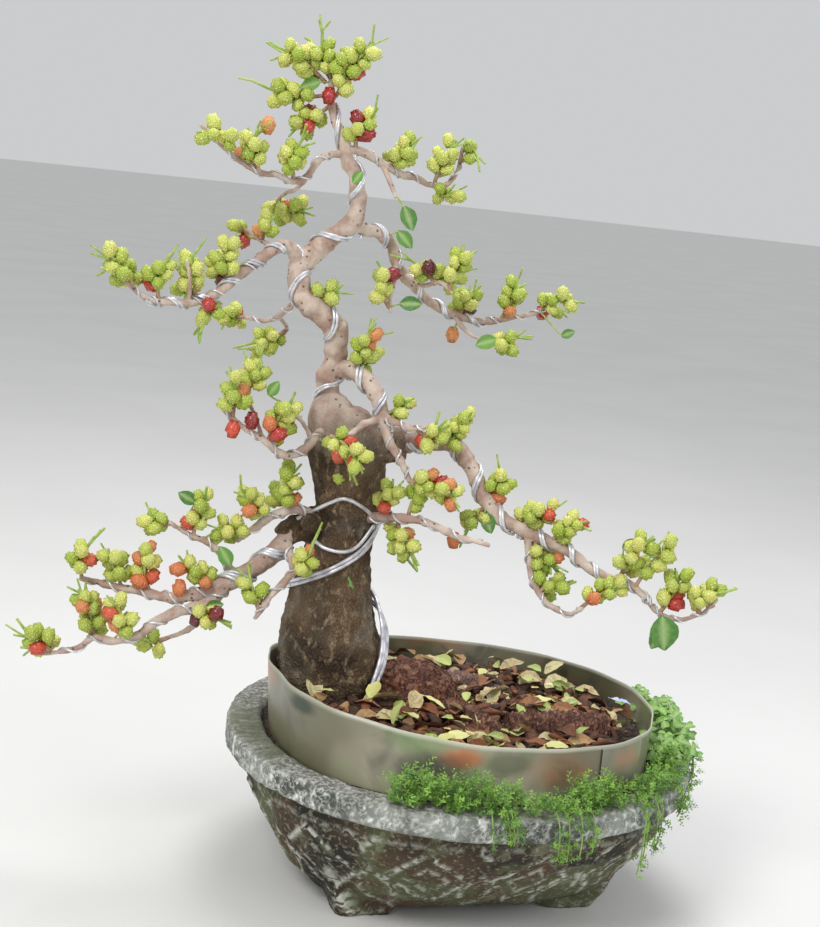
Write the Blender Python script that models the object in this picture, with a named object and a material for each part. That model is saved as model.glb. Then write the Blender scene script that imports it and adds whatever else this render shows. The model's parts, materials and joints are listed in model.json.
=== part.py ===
"""A wired, fruiting mulberry bonsai in a cast cement pot.

+Z is up and the tree's broad face looks along -Y. The origin is the middle of the base of the bounding box.
Sizes are metres unless a name ends in _MM or _DEG. Limb points are millimetres: across, up, and depth away from
the viewing side, where across and up are laid out on the plane through the pot's middle as seen from EYE.
"""

import math

import bmesh
import bpy
from mathutils import Matrix, Vector, noise
from mathutils.bvhtree import BVHTree

MM = 0.001
GAP = 0.0003
TREE_SCALE = 1.0
TREE_FOOT = Vector((-0.112, -0.005, 0.118))
EYE = Vector((-0.065, -1.328, 0.596))

# Pot: half sizes of its ovals, and heights above the ground.
POT_HALF_LENGTH = 0.195
POT_HALF_DEPTH = 0.190
POT_HEIGHT = 0.129
POT_TURN_DEG = 17.9
RIM_THICK = 0.021
RIM_OVERHANG = 0.014
RIM_LEDGE = 0.029
POT_WALL = 0.016
POT_FLOOR = 0.014
FOOT_HEIGHT = 0.010
FOOT_END_INSET = 0.079
FOOT_SIDE_INSET = 0.111
FOOT_ACROSS = POT_HALF_LENGTH - FOOT_END_INSET
FOOT_DEEP = POT_HALF_DEPTH - FOOT_SIDE_INSET
FOOT_SIZE = 0.042
FOOT_SPREAD = 1.03
DRAIN_RADIUS = 0.011
DRAIN_SPACING = 0.090
MESH_RADIUS = DRAIN_RADIUS + 0.005
MESH_THICK = 0.0015
POT_SIDES = 32

# Sheet collar pushed into the soil inside the rim.
COLLAR_SIDE_INSET = 0.015
COLLAR_END_LEAN = 0.0065
COLLAR_SIDE_LEAN = 0.007
COLLAR_HALF_LENGTH = 0.158
COLLAR_HALF_DEPTH = POT_HALF_DEPTH - RIM_LEDGE - COLLAR_SIDE_INSET
COLLAR_TOP_LENGTH = COLLAR_HALF_LENGTH + COLLAR_END_LEAN
COLLAR_TOP_DEPTH = COLLAR_HALF_DEPTH - COLLAR_SIDE_LEAN
COLLAR_LEFT = 0.004
COLLAR_FORWARD = 0.009
COLLAR_THICK = 0.0012
COLLAR_BURIED = 0.013
COLLAR_LEFT_TOP = 0.186
COLLAR_RIGHT_TOP = 0.171
SOIL_TOP = 0.147
SOIL_RISE = 0.012
SOIL_BELOW_RIM = 0.003
TRUNK_WIRE_FOOT = SOIL_TOP + SOIL_RISE - 0.001

TRUNK_DEPTH_SHARE = 0.92
TRUNK_SIDES = 12
TRUNK_SPACING = 0.018
LIMB_SPACING = 0.016
LIMB_SIDES = 6
TWIG_SIDES = 5
ROOT_SIDES = 7
WIRE_SIDES = 5
WIRE_STEPS = 7
HEAVY_WIRE = 0.0020
MIDDLE_WIRE = 0.0014
WIRE_CLEAR = 0.0007
SHOOT_RADIUS = 0.0015
FRUIT_RADIUS = 0.0055
FRUIT_HALF_LENGTH = 0.0074
FRUIT_PITCH = 0.0047
GOLDEN_TURN = math.radians(137.5)

# Points of a limb: across, up, depth, radius, all in millimetres.
LOWER_TRUNK = [
    (-112, 118, -5, 38), (-113, 150, -5, 40.5), (-115, 170, -5, 43), (-116, 190, -5, 41.5), (-118, 211, -4, 37.5),
    (-120, 228, -3, 34), (-118, 253, -1, 29.5), (-116, 284, 2, 25.5), (-113, 315, 4, 25.5), (-114, 340, 5, 30),
    (-120, 364, 6, 32), (-130, 386, 6, 24), (-131, 398, 6, 17), (-128, 404, 6, 8),
]
UPPER_TRUNK = [
    (-128, 376, 6, 15), (-139, 407, 5, 12), (-136, 422, 3, 11.5), (-134, 439, 1, 11.5), (-135, 453, -1, 12),
    (-144, 464, -4, 12), (-158, 473, -6, 11.5), (-168, 484, -6, 11), (-172, 496, -4, 10.5), (-169, 506, 0, 10.5),
    (-160, 517, 4, 11), (-146, 530, 6, 10), (-134, 541, 6, 9), (-128, 551, 4, 8.5), (-129, 564, 0, 8),
    (-133, 580, -4, 7.5), (-141, 592, -6, 6.5), (-145, 607, -6, 5.5), (-154, 624, -4, 4.2), (-158, 640, -2, 3.4),
    (-159, 654, 0, 2.6),
]
RIGHT_STUB = [(-108, 362, 4, 17), (-88, 366, 2, 15), (-70, 368, 0, 13)]
FRONT_STUB = [(-139, 300, 0, 9), (-141, 294, -24, 8.5), (-141, 293, -30, 6)]
KNOT = [(-136, 290, 0, 13), (-153, 288, -8, 12), (-163, 278, -12, 10)]

# Each limb: its main run, then its side shoots.
LIMBS = {
    "limb_upper_left": [
        [(-143, 596, -6, 3), (-152, 595, -10, 3.2), (-163, 590, -16, 3.2), (-171, 576, -22, 3), (-182, 570, -28, 2.8),
         (-195, 574, -34, 2.6), (-212, 575, -40, 2.4), (-231, 585, -46, 2), (-244, 594, -48, 1.7), (-260, 607, -48, 1.4)],
        [(-168, 580, -18, 2), (-178, 566, 2, 1.9), (-188, 560, 18, 1.7), (-194, 554, 28, 1.4)],
    ],
    "limb_upper_right": [
        [(-142, 600, -6, 4), (-129, 599, -2, 4), (-113, 592, 8, 3.8), (-97, 585, 18, 3.4), (-85, 584, 26, 3),
         (-73, 579, 32, 2.6), (-61, 580, 36, 2.3), (-53, 590, 38, 2), (-50, 612, 40, 1.5)],
        [(-112, 591, 8, 2.4), (-104, 577, 2, 2.2), (-99, 566, -2, 1.6)],
    ],
    "limb_left_middle": [
        [(-171, 503, 0, 6), (-178, 517, -8, 6), (-187, 518, -14, 5.6), (-197, 511, -20, 5.2), (-208, 501, -28, 4.8),
         (-219, 492, -36, 4.4), (-235, 475, -46, 4), (-255, 465, -56, 3.6), (-268, 464, -62, 3.2), (-284, 463, -68, 2.8),
         (-298, 468, -74, 2.4), (-312, 478, -78, 1.8)],
        [(-189, 517, -14, 2.4), (-204, 521, -6, 2.1), (-214, 528, 0, 1.6)],
        [(-258, 465, -57, 2), (-258, 482, -64, 1.8), (-262, 499, -68, 1.5)],
    ],
    "limb_back_left": [
        [(-168, 482, 0, 3.4), (-173, 473, 26, 3.2), (-180, 466, 52, 2.8), (-190, 458, 78, 2.4), (-203, 457, 98, 2),
         (-213, 458, 108, 1.6)],
        [(-184, 462, 64, 1.8), (-176, 452, 84, 1.6), (-184, 444, 104, 1.4), (-203, 438, 116, 1.2)],
    ],
    "limb_right_middle": [
        [(-133, 540, 6, 6), (-121, 538, 14, 6), (-108, 536, 22, 5.8), (-99, 529, 28, 5.6), (-94, 516, 34, 5.4),
         (-86, 505, 40, 5), (-72, 494, 46, 4.6), (-60, 485, 50, 4.2), (-46, 479, 54, 3.8), (-20, 475, 60, 3.2),
         (7, 482, 64, 2.4), (25, 488, 66, 2), (46, 509, 66, 1.4)],
        [(-88, 507, 40, 2.6), (-72, 499, 24, 2.2), (-56, 503, 10, 1.9), (-46, 495, 2, 1.6)],
        [(-94, 518, 34, 2.4), (-93, 504, 18, 2.1), (-95, 488, 8, 1.8), (-94, 474, 2, 1.5)],
        [(-44, 479, 54, 2.2), (-30, 465, 42, 1.9), (-14, 459, 34, 1.5)],
    ],
    "limb_right_low": [
        [(-133, 424, 2, 8), (-122, 424, -8, 8), (-112, 420, -16, 7.8), (-102, 411, -22, 7.4), (-95, 399, -26, 7),
         (-90, 386, -28, 5.6), (-86, 373, -32, 4.2), (-73, 354, -38, 3.4), (-63, 337, -44, 2.4)],
        [(-90, 388, -28, 4), (-80, 385, -34, 3.4), (-64, 382, -42, 2.6), (-54, 385, -46, 1.8)],
        [(-93, 388, -28, 3.4), (-106, 381, -40, 3), (-116, 372, -50, 2.6), (-124, 369, -56, 2)],
    ],
    "limb_right_pale": [
        [(-72, 368, 0, 9), (-50, 373, -8, 8.6), (-30, 371, -14, 8), (-17, 358, -18, 7.4), (-7, 341, -22, 7),
         (5, 323, -26, 6.6), (22, 311, -30, 6.2), (42, 304, -36, 5.8), (60, 298, -42, 5.4), (76, 292, -46, 5),
         (92, 281, -52, 4.5), (108, 274, -58, 4), (126, 272, -64, 3.2), (140, 262, -70, 2.6), (155, 249, -76, 2.2),
         (172, 245, -80, 1.9), (190, 252, -84, 1.6), (202, 266, -86, 1.3)],
        [(38, 305, -34, 4), (42, 286, -40, 3.6), (47, 266, -48, 3.2), (57, 251, -56, 2.8), (70, 242, -64, 2.4),
         (82, 240, -70, 2.1), (92, 247, -74, 1.8)],
    ],
    "limb_right_lower": [
        [(-100, 303, 0, 5), (-84, 305, -22, 4.6), (-66, 306, -36, 4), (-44, 304, -46, 3.4), (-22, 296, -54, 2.8),
         (-4, 293, -58, 2.2), (8, 291, -60, 1.6)],
    ],
    "limb_left_centre": [
        [(-139, 372, -8, 4.4), (-145, 366, -34, 4.2), (-152, 355, -46, 4), (-164, 348, -54, 3.8), (-175, 350, -60, 3.4),
         (-188, 360, -66, 3), (-202, 366, -70, 2.6), (-216, 376, -72, 2.1), (-228, 385, -72, 1.6)],
        [(-147, 364, -38, 2.2), (-158, 379, -46, 2), (-170, 386, -50, 1.7), (-178, 393, -52, 1.4)],
        [(-188, 360, -66, 2.2), (-196, 379, -62, 1.9), (-205, 392, -58, 1.7), (-211, 403, -56, 1.4)],
    ],
    "limb_left_low": [
        [(-158, 283, -12, 8.6), (-164, 274, -20, 8.6), (-172, 261, -28, 8.4), (-184, 251, -36, 8.2), (-196, 242, -44, 8),
         (-207, 234, -50, 7.6), (-228, 224, -56, 6), (-251, 217, -60, 5), (-276, 219, -62, 4), (-300, 221, -62, 3.2),
         (-316, 224, -60, 2.6), (-330, 225, -58, 2)],
        [(-205, 235, -50, 6), (-222, 214, -60, 5.4), (-244, 206, -68, 5), (-260, 197, -74, 4.6), (-270, 187, -78, 4.2),
         (-282, 179, -80, 3.8), (-298, 174, -80, 3.4), (-314, 175, -76, 3), (-325, 166, -72, 2.6), (-340, 160, -68, 2.2),
         (-358, 156, -64, 1.6)],
        [(-200, 240, -46, 4), (-208, 250, -44, 3.6), (-222, 266, -44, 3), (-240, 272, -46, 2.4), (-260, 282, -48, 1.6)],
        [(-204, 236, -48, 4), (-218, 214, -42, 3.2), (-233, 193, -38, 2.6), (-250, 183, -34, 2), (-262, 179, -32, 1.5)],
        [(-161, 279, -15, 4), (-157, 266, -36, 3.8), (-152, 252, -46, 3.6), (-158, 242, -52, 3.4), (-170, 227, -58, 3),
         (-176, 215, -62, 2.4), (-181, 206, -64, 1.8)],
    ],
    "limb_left_lower": [
        [(-136, 300, -10, 4.6), (-154, 304, -26, 4.4), (-172, 297, -34, 4), (-188, 284, -34, 3.4), (-202, 272, -30, 2.6)],
    ],
}

# Each fruiting shoot: three points of its run, and the most fruit it bears.
SPRAYS = {
    "fruit_apex_crown": [(-161, 658, 0), (-169, 673, -6), (-171, 690, -10), 8],
    "fruit_apex_left": [(-164, 642, -6), (-188, 646, -22), (-216, 654, -32), 12],
    "fruit_apex_right": [(-153, 656, 6), (-143, 669, 12), (-130, 683, 16), 8],
    "fruit_upper_left": [(-188, 577, -34), (-198, 588, -40), (-216, 602, -46), 9],
    "fruit_upper_right_tip": [(-72, 583, 28), (-66, 597, 22), (-58, 616, 18), 9],
    "fruit_left_middle": [(-229, 492, -47), (-236, 499, -50), (-250, 502, -56), 8],
    "fruit_left_middle_tip": [(-286, 470, -72), (-292, 484, -76), (-318, 496, -80), 10],
    "fruit_back_left": [(-170, 448, 92), (-188, 440, 96), (-206, 436, 100), 8],
    "fruit_right_small": [(-121, 440, -14), (-110, 440, -30), (-112, 458, -38), 8],
    "fruit_right_middle": [(-98, 476, -2), (-105, 488, -8), (-103, 506, -12), 7],
    "fruit_right_middle_tip": [(-6, 486, 58), (2, 496, 52), (8, 510, 48), 9],
    "fruit_left_centre": [(-206, 372, -76), (-214, 384, -80), (-216, 404, -82), 9],
    "fruit_trunk_front": [(-128, 366, -62), (-120, 362, -68), (-104, 348, -72), 9],
    "fruit_centre_left": [(-164, 308, -40), (-168, 318, -48), (-160, 336, -54), 9],
    "fruit_centre_right": [(-74, 300, -40), (-68, 292, -46), (-58, 280, -50), 7],
    "fruit_right_upper": [(-34, 383, -20), (-28, 388, -24), (-16, 392, -28), 8],
    "fruit_right_inner": [(-62, 331, -50), (-44, 334, -56), (-24, 322, -60), 10],
    "fruit_right_lower": [(46, 312, -38), (56, 318, -42), (84, 318, -46), 10],
    "fruit_right_droop": [(96, 246, -78), (104, 256, -80), (120, 262, -82), 8],
    "fruit_right_tip": [(160, 253, -80), (166, 264, -84), (170, 278, -86), 8],
    "fruit_left_low_near": [(-216, 242, -62), (-226, 246, -70), (-246, 240, -78), 9],
    "fruit_left_low_far": [(-320, 180, -84), (-318, 194, -86), (-326, 214, -88), 10],
}

# Each winding: its limb, share of the run where it starts and ends, turns, phase in degrees, wire radius.
WINDINGS = {
    "wire_upper_trunk": ("upper_trunk", 0.22, 0.78, 5.0, 40, MIDDLE_WIRE),
    "wire_left_middle": ("limb_left_middle", 0.20, 0.62, 4.0, 200, MIDDLE_WIRE),
    "wire_right_middle": ("limb_right_middle", 0.14, 0.56, 5.5, 60, MIDDLE_WIRE),
    "wire_right_low": ("limb_right_low", 0.20, 0.52, 2.5, 100, MIDDLE_WIRE),
    "wire_right_pale_a": ("limb_right_pale", 0.06, 0.36, 4.0, 0, MIDDLE_WIRE),
    "wire_right_pale_b": ("limb_right_pale", 0.46, 0.68, 4.0, 60, MIDDLE_WIRE),
    "wire_left_low_a": ("limb_left_low", 0.11, 0.33, 1.8, 150, HEAVY_WIRE),
    "wire_left_low_b": ("limb_left_low", 0.11, 0.33, 1.8, 45, HEAVY_WIRE),
}

# Wires that wrap the trunk: angle in degrees from +X towards +Y, height in millimetres, clearance off the bark.
TRUNK_WIRES = {
    "wire_trunk_long": [(-42, 158), (-30, 168), (-12, 187), (8, 210), (50, 224), (110, 232), (180, 238), (225, 249),
                        (270, 263), (315, 279), (360, 297), (420, 312)],
    "wire_trunk_second": [(-51, 158), (-39, 169), (-21, 190), (-3, 215), (40, 233), (110, 241), (170, 247)],
    "wire_trunk_short": [(238, 281), (255, 279), (280, 279), (305, 284), (325, 291)],
}

# Surface roots in millimetres on the pot's own axes: across, deep, above the soil, radius.
ROOTS = {
    "root_back": [(-12, 40, 4, 9), (6, 50, 6, 9), (26, 46, 5, 8), (44, 30, 0, 6)],
    "root_front": [(-24, -8, 4, 9), (-8, -28, 4, 8.5), (8, -50, 1, 7.5), (14, -66, -4, 6)],
    "root_log": [(20, -58, 2, 12), (45, -60, 3, 13), (80, -60, 3, 13), (108, -56, 1, 12)],
}

POT_TURN = Matrix.Rotation(math.radians(POT_TURN_DEG), 4, "Z")
placed = []


def material(name, color, roughness, metallic=0.0):
    made = bpy.data.materials.new(name)
    made.use_nodes = True
    shader = made.node_tree.nodes["Principled BSDF"]
    shader.inputs["Base Color"].default_value = (*color, 1)
    shader.inputs["Roughness"].default_value = roughness
    shader.inputs["Metallic"].default_value = metallic
    return made


def add_object(name, mesh_builder, finish, smooth=True, helper=False):
    """Turns a bmesh into a named object with its faces out."""
    bmesh.ops.recalc_face_normals(mesh_builder, faces=mesh_builder.faces)
    mesh = bpy.data.meshes.new(name)
    mesh_builder.to_mesh(mesh)
    mesh_builder.free()
    if smooth:
        mesh.shade_smooth()
        mesh.set_sharp_from_angle(angle=math.radians(40))
    obj = bpy.data.objects.new(name, mesh)
    bpy.context.scene.collection.objects.link(obj)
    if finish:
        mesh.materials.append(finish)
    if helper:
        obj.hide_render = True
        obj.display_type = "WIRE"
    return obj


def join_or_cut(obj, other, operation):
    modifier = obj.modifiers.new(operation.lower() + "_" + other.name, "BOOLEAN")
    modifier.object = other
    modifier.operation = operation
    modifier.solver = "EXACT"


def bake(obj):
    """Applies the object's modifiers and removes the helpers that they used."""
    helpers = [modifier.object for modifier in obj.modifiers]
    graph = bpy.context.evaluated_depsgraph_get()
    mesh = bpy.data.meshes.new_from_object(obj.evaluated_get(graph))
    obj.modifiers.clear()
    obj.data = mesh
    for helper in set(helpers):
        if helper.hide_render:
            bpy.data.objects.remove(helper)


def claim(obj):
    """Remembers the object's surface, so that fruit set later keeps clear of it."""
    graph = bpy.context.evaluated_depsgraph_get()
    placed.append(BVHTree.FromObject(obj, graph))


def seen(across, up, depth):
    """The point at this depth that lies on the sight line from EYE to (across, up) on the middle plane."""
    flat = Vector((across * MM, 0, up * MM))
    point = EYE + (flat - EYE) * (1 - depth * MM / EYE.y)
    return TREE_FOOT + (point - TREE_FOOT) * TREE_SCALE


def limb_points(run):
    return [(seen(*point[:3]), point[3] * MM * TREE_SCALE) for point in run]


def smooth_run(points, spacing):
    """Points along a smooth curve through (place, radius) pairs, about the given spacing apart."""
    ends = [points[0]] + points + [points[-1]]
    out = []
    for before, start, end, after in zip(ends, ends[1:], ends[2:], ends[3:]):
        steps = max(1, round((end[0] - start[0]).length / spacing))
        for step in range(steps):
            t = step / steps
            place = 0.5 * (
                2 * start[0]
                + (end[0] - before[0]) * t
                + (2 * before[0] - 5 * start[0] + 4 * end[0] - after[0]) * t * t
                + (3 * start[0] - before[0] - 3 * end[0] + after[0]) * t**3
            )
            out.append((place, start[1] + (end[1] - start[1]) * t))
    out.append(points[-1])
    return out


def frames_along(run):
    """The run's points with two directions across it that turn as little as they can."""
    tangents = []
    for index in range(len(run)):
        ahead = run[min(index + 1, len(run) - 1)][0]
        behind = run[max(index - 1, 0)][0]
        tangents.append((ahead - behind).normalized())
    side = tangents[0].orthogonal().normalized()
    frames = []
    for (place, radius), tangent in zip(run, tangents):
        side = (side - tangent * side.dot(tangent)).normalized()
        frames.append((place, radius, tangent, side, tangent.cross(side)))
    return frames


def tube(run, sides, depth_share=1.0, grow=0.0):
    """A closed tube through the run. depth_share flattens it along Y."""
    builder = bmesh.new()
    rings = []
    for place, radius, _, side, up in frames_along(run):
        ring = []
        for index in range(sides):
            angle = math.tau * index / sides
            offset = (side * math.cos(angle) + up * math.sin(angle)) * (radius + grow)
            offset.y *= depth_share
            ring.append(builder.verts.new(place + offset))
        rings.append(ring)
    for low, high in zip(rings, rings[1:]):
        for index in range(sides):
            builder.faces.new((low[index], low[index - 1], high[index - 1], high[index]))
    builder.faces.new(rings[0])
    builder.faces.new(rings[-1])
    return builder


def oval(half_length, half_depth, power, height, left=0.0, forward=0.0):
    """A level ring on the pot's axes: an ellipse at power 2, squarer above it."""
    ring = []
    for index in range(POT_SIDES):
        angle = math.tau * index / POT_SIDES
        across = math.copysign(abs(math.cos(angle)) ** (2 / power), math.cos(angle)) * half_length
        deep = math.copysign(abs(math.sin(angle)) ** (2 / power), math.sin(angle)) * half_depth
        ring.append(POT_TURN @ Vector((across - left, deep - forward, height)))
    return ring


def skin(rings, close_ends=True, loop=False):
    """A surface through rings of equally many points."""
    builder = bmesh.new()
    rows = [[builder.verts.new(place) for place in ring] for ring in rings]
    pairs = list(zip(rows, rows[1:]))
    if loop:
        pairs.append((rows[-1], rows[0]))
    for low, high in pairs:
        for index in range(len(low)):
            builder.faces.new((low[index - 1], low[index], high[index], high[index - 1]))
    if close_ends:
        builder.faces.new(rows[0])
        builder.faces.new(rows[-1])
    return builder


def pot_rings(inset):
    """The bowl from its base up to the rim's underside, drawn in by inset: half length, half depth, power, height."""
    under_rim = POT_HEIGHT - RIM_THICK
    neck_length = POT_HALF_LENGTH - RIM_OVERHANG
    neck_depth = POT_HALF_DEPTH - RIM_OVERHANG
    shape = [(0.685, 0.490, 3.0, 0.0), (0.790, 0.615, 2.8, 0.17), (0.880, 0.770, 2.5, 0.44), (0.955, 0.905, 2.35, 0.70),
             (1.0, 1.0, 2.2, 1.0)]
    rise = under_rim - FOOT_HEIGHT
    return [
        (neck_length * along - inset, neck_depth * deep - inset, power, FOOT_HEIGHT + rise * share)
        for along, deep, power, share in shape
    ]


def pot_inside(inset=0.0):
    """The pot's inner wall from its floor up to the opening."""
    rows = pot_rings(POT_WALL + inset)
    floor = FOOT_HEIGHT + POT_FLOOR + inset
    rows[0] = (*rows[0][:3], floor)
    opening = (POT_HALF_LENGTH - RIM_LEDGE - inset, POT_HALF_DEPTH - RIM_LEDGE - inset, 2.2, POT_HEIGHT)
    return rows[:-1] + [opening]


def make_pot(finish):
    edge = 0.003
    under_rim = POT_HEIGHT - RIM_THICK
    outside = [oval(*row) for row in pot_rings(0)]
    rim = [
        oval(POT_HALF_LENGTH - edge, POT_HALF_DEPTH - edge, 2.05, under_rim),
        oval(POT_HALF_LENGTH, POT_HALF_DEPTH, 2.05, under_rim + edge),
        oval(POT_HALF_LENGTH, POT_HALF_DEPTH, 2.05, POT_HEIGHT - edge),
        oval(POT_HALF_LENGTH - edge, POT_HALF_DEPTH - edge, 2.05, POT_HEIGHT),
    ]
    inside = [oval(*row) for row in reversed(pot_inside())]
    pot = add_object("pot", skin(outside + rim + inside), finish)
    for across in (-1, 1):
        for deep in (-1, 1):
            foot = make_foot(across, deep)
            join_or_cut(pot, foot, "UNION")
    for across in (-1, 1):
        hole = drain_ring(across, DRAIN_RADIUS, 0, FOOT_HEIGHT + POT_FLOOR + 0.01, 16)
        join_or_cut(pot, add_object("drain_cutter", hole, None, helper=True), "DIFFERENCE")
    bake(pot)
    return pot


def make_foot(across, deep):
    """A bracket foot: square on the ground, spreading up into the bowl's corner."""
    rings = []
    inside_floor = FOOT_HEIGHT + POT_FLOOR * 0.7
    for height, spread in ((0.0, 1.0), (FOOT_HEIGHT, FOOT_SPREAD), (inside_floor, 1.0)):
        size = FOOT_SIZE * spread
        x_out = FOOT_ACROSS * spread
        y_out = FOOT_DEEP * spread
        corners = ((x_out - size, y_out - size), (x_out, y_out - size), (x_out, y_out), (x_out - size, y_out))
        rings.append([POT_TURN @ Vector((x * across, y * deep, height)) for x, y in corners])
    return add_object("foot_block", skin(rings), None, smooth=False, helper=True)


def drain_ring(across, radius, low, high, sides):
    rings = []
    for height in (low, high):
        ring = []
        for index in range(sides):
            angle = math.tau * index / sides
            place = Vector((across * DRAIN_SPACING / 2 + radius * math.cos(angle), radius * math.sin(angle), height))
            ring.append(POT_TURN @ place)
        rings.append(ring)
    return skin(rings)


def make_drain_mesh(name, across, finish):
    """A stiff mesh disc over a drainage hole, with slots through it."""
    low = FOOT_HEIGHT + POT_FLOOR + GAP
    disc = add_object(name, drain_ring(across, MESH_RADIUS, low, low + MESH_THICK, 20), finish)
    for index in range(-2, 3):
        slot = bmesh.new()
        bmesh.ops.create_cube(slot, size=1)
        place = Vector((across * DRAIN_SPACING / 2 + index * 0.0042, 0, low))
        size = Matrix.Diagonal((0.0024, DRAIN_RADIUS * 1.3, 0.01, 1))
        bmesh.ops.transform(slot, matrix=POT_TURN @ Matrix.Translation(place) @ size, verts=slot.verts)
        join_or_cut(disc, add_object("slot_cutter", slot, None, helper=True), "DIFFERENCE")
    bake(disc)


def collar_top(place):
    """The collar stands higher at its left end."""
    share = 0.5 + 0.5 * (POT_TURN.inverted() @ place).x / COLLAR_HALF_LENGTH
    share = min(max(share, 0), 1)
    return COLLAR_LEFT_TOP + (COLLAR_RIGHT_TOP - COLLAR_LEFT_TOP) * share


def collar_ring(grow, level_of):
    """The collar's outer face grown by grow, at the level that level_of gives for each point."""
    low = POT_HEIGHT - COLLAR_BURIED
    foot = oval(COLLAR_HALF_LENGTH + grow, COLLAR_HALF_DEPTH + grow, 2.15, low, COLLAR_LEFT, COLLAR_FORWARD)
    full = oval(COLLAR_TOP_LENGTH + grow, COLLAR_TOP_DEPTH + grow, 2.15, COLLAR_LEFT_TOP, COLLAR_LEFT, COLLAR_FORWARD)
    ring = []
    for start, end in zip(foot, full):
        share = (level_of(start) - low) / (COLLAR_LEFT_TOP - low)
        ring.append(start + (end - start) * share)
    return ring


def make_collar(name, finish, grow=0.0, top_grow=0.0, helper=False):
    def foot_level(place):
        return POT_HEIGHT - COLLAR_BURIED - grow

    def top_level(place):
        return collar_top(place) + top_grow

    inner_grow = -COLLAR_THICK - grow
    rings = [collar_ring(grow, foot_level), collar_ring(grow, top_level)]
    rings += [collar_ring(inner_grow, top_level), collar_ring(inner_grow, foot_level)]
    return add_object(name, skin(rings, close_ends=False, loop=True), finish, helper=helper)


def soil_height(place):
    """The soil inside the collar, heaped towards the trunk."""
    toward_trunk = max(0.0, 1 - (place - TREE_FOOT).xy.length / 0.15)
    bump = noise.noise(place * 45) * 0.0025
    return SOIL_TOP + SOIL_RISE * toward_trunk + bump


def make_soil(finish):
    top_level = POT_HEIGHT - SOIL_BELOW_RIM
    lower = [oval(*row) for row in pot_inside(GAP * 3)]
    share = (top_level - lower[-2][0].z) / (POT_HEIGHT - lower[-2][0].z)
    lower[-1] = [start + (end - start) * share for start, end in zip(lower[-2], lower[-1])]
    inner_face = -COLLAR_THICK - 3 * GAP
    mound = [collar_ring(inner_face, lambda place: top_level), collar_ring(inner_face, soil_height)]
    for share in (0.75, 0.4):
        ring = oval(COLLAR_HALF_LENGTH * share, COLLAR_HALF_DEPTH * share, 2.15, 0, COLLAR_LEFT, COLLAR_FORWARD)
        mound.append([Vector((place.x, place.y, soil_height(place))) for place in ring])
    return add_object("soil", skin(lower + mound), finish)


def root_points(run):
    base = Vector((0, 0, SOIL_TOP))
    return [(POT_TURN @ Vector((x * MM, y * MM, z * MM)) + base, radius * MM) for x, y, z, radius in run]


def fibrous_mound(grow=0.0):
    """The mat of fine roots that spills from the trunk's right side."""
    builder = bmesh.new()
    bmesh.ops.create_icosphere(builder, subdivisions=2, radius=1)
    middle = POT_TURN @ Vector((-0.040, 0.024, SOIL_TOP + 0.002))
    for vert in builder.verts:
        lump = 1 + 0.10 * noise.noise(vert.co * 2.2)
        way = vert.co.normalized()
        vert.co = Vector((way.x * (0.036 * lump + grow), way.y * (0.042 * lump + grow), way.z * (0.024 * lump + grow)))
        vert.co += middle
    return builder


def make_roots(trunk_cutter, finish, mound_finish):
    mound = add_object("root_mound", fibrous_mound(), mound_finish)
    join_or_cut(mound, trunk_cutter, "DIFFERENCE")
    cutters = [add_object("mound_cutter", fibrous_mound(GAP), None, helper=True)]
    roots = {}
    for name, run in ROOTS.items():
        path = smooth_run(root_points(run), 0.018)
        root = add_object(name, tube(path, ROOT_SIDES), finish)
        for cutter in cutters:
            join_or_cut(root, cutter, "DIFFERENCE")
        roots[name] = root
        cutters.append(add_object(name + "_cutter", tube(path, ROOT_SIDES, grow=GAP), None, helper=True))
    return mound, roots, cutters


def make_wood(name, runs, sides, spacing, finish, cutters=(), depth_share=1.0):
    """Joins a main run and its side runs into one piece, and cuts it back from its neighbours."""
    main = add_object(name, tube(smooth_run(limb_points(runs[0]), spacing), sides[0], depth_share), finish)
    for index, run in enumerate(runs[1:]):
        side = tube(smooth_run(limb_points(run), spacing), sides[1])
        join_or_cut(main, add_object(f"{name}_side_{index}", side, None, helper=True), "UNION")
    for cutter in cutters:
        join_or_cut(main, cutter, "DIFFERENCE")
    return main


def longer(run, extra):
    """The run with both ends carried on by extra."""
    first = run[0][0] + (run[0][0] - run[1][0]).normalized() * extra
    last = run[-1][0] + (run[-1][0] - run[-2][0]).normalized() * extra
    return [(first, run[0][1])] + run[1:-1] + [(last, run[-1][1])]


def wood_cutters(runs):
    """The trunk's runs grown by the gap, to cut its neighbours back."""
    cutters = []
    for index, (run, sides, share) in enumerate(runs):
        builder = tube(longer(smooth_run(limb_points(run), TRUNK_SPACING), 2 * GAP), sides, share, GAP)
        cutters.append(add_object(f"trunk_cutter_{index}", builder, None, helper=True))
    return cutters


def make_wires(finish):
    """Every wire, and for each a slightly thicker copy that presses its mark into the bark."""
    runs = {name: limb_points(parts[0]) for name, parts in LIMBS.items()}
    runs["upper_trunk"] = limb_points(UPPER_TRUNK)
    paths = {}
    for name, (limb, start, end, turns, phase, radius) in WINDINGS.items():
        paths[name] = winding(runs[limb], start, end, turns, phase, radius)
    for name, points in TRUNK_WIRES.items():
        paths[name] = trunk_winding(points, HEAVY_WIRE)
    wires = []
    marks = []
    for name, path in paths.items():
        wires.append(add_object(name, tube(path, WIRE_SIDES), finish))
        mark = tube(longer(path, GAP), WIRE_SIDES, grow=2 * GAP)
        marks.append(add_object(name + "_mark", mark, None, helper=True))
    return wires, marks


def press_marks(wood, marks):
    """Cuts into the wood the mark of every wire that touches it."""
    graph = bpy.context.evaluated_depsgraph_get()
    surface = BVHTree.FromObject(wood, graph)
    for mark in [mark for mark in marks if surface.overlap(BVHTree.FromObject(mark, graph))]:
        join_or_cut(wood, mark, "DIFFERENCE")


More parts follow.
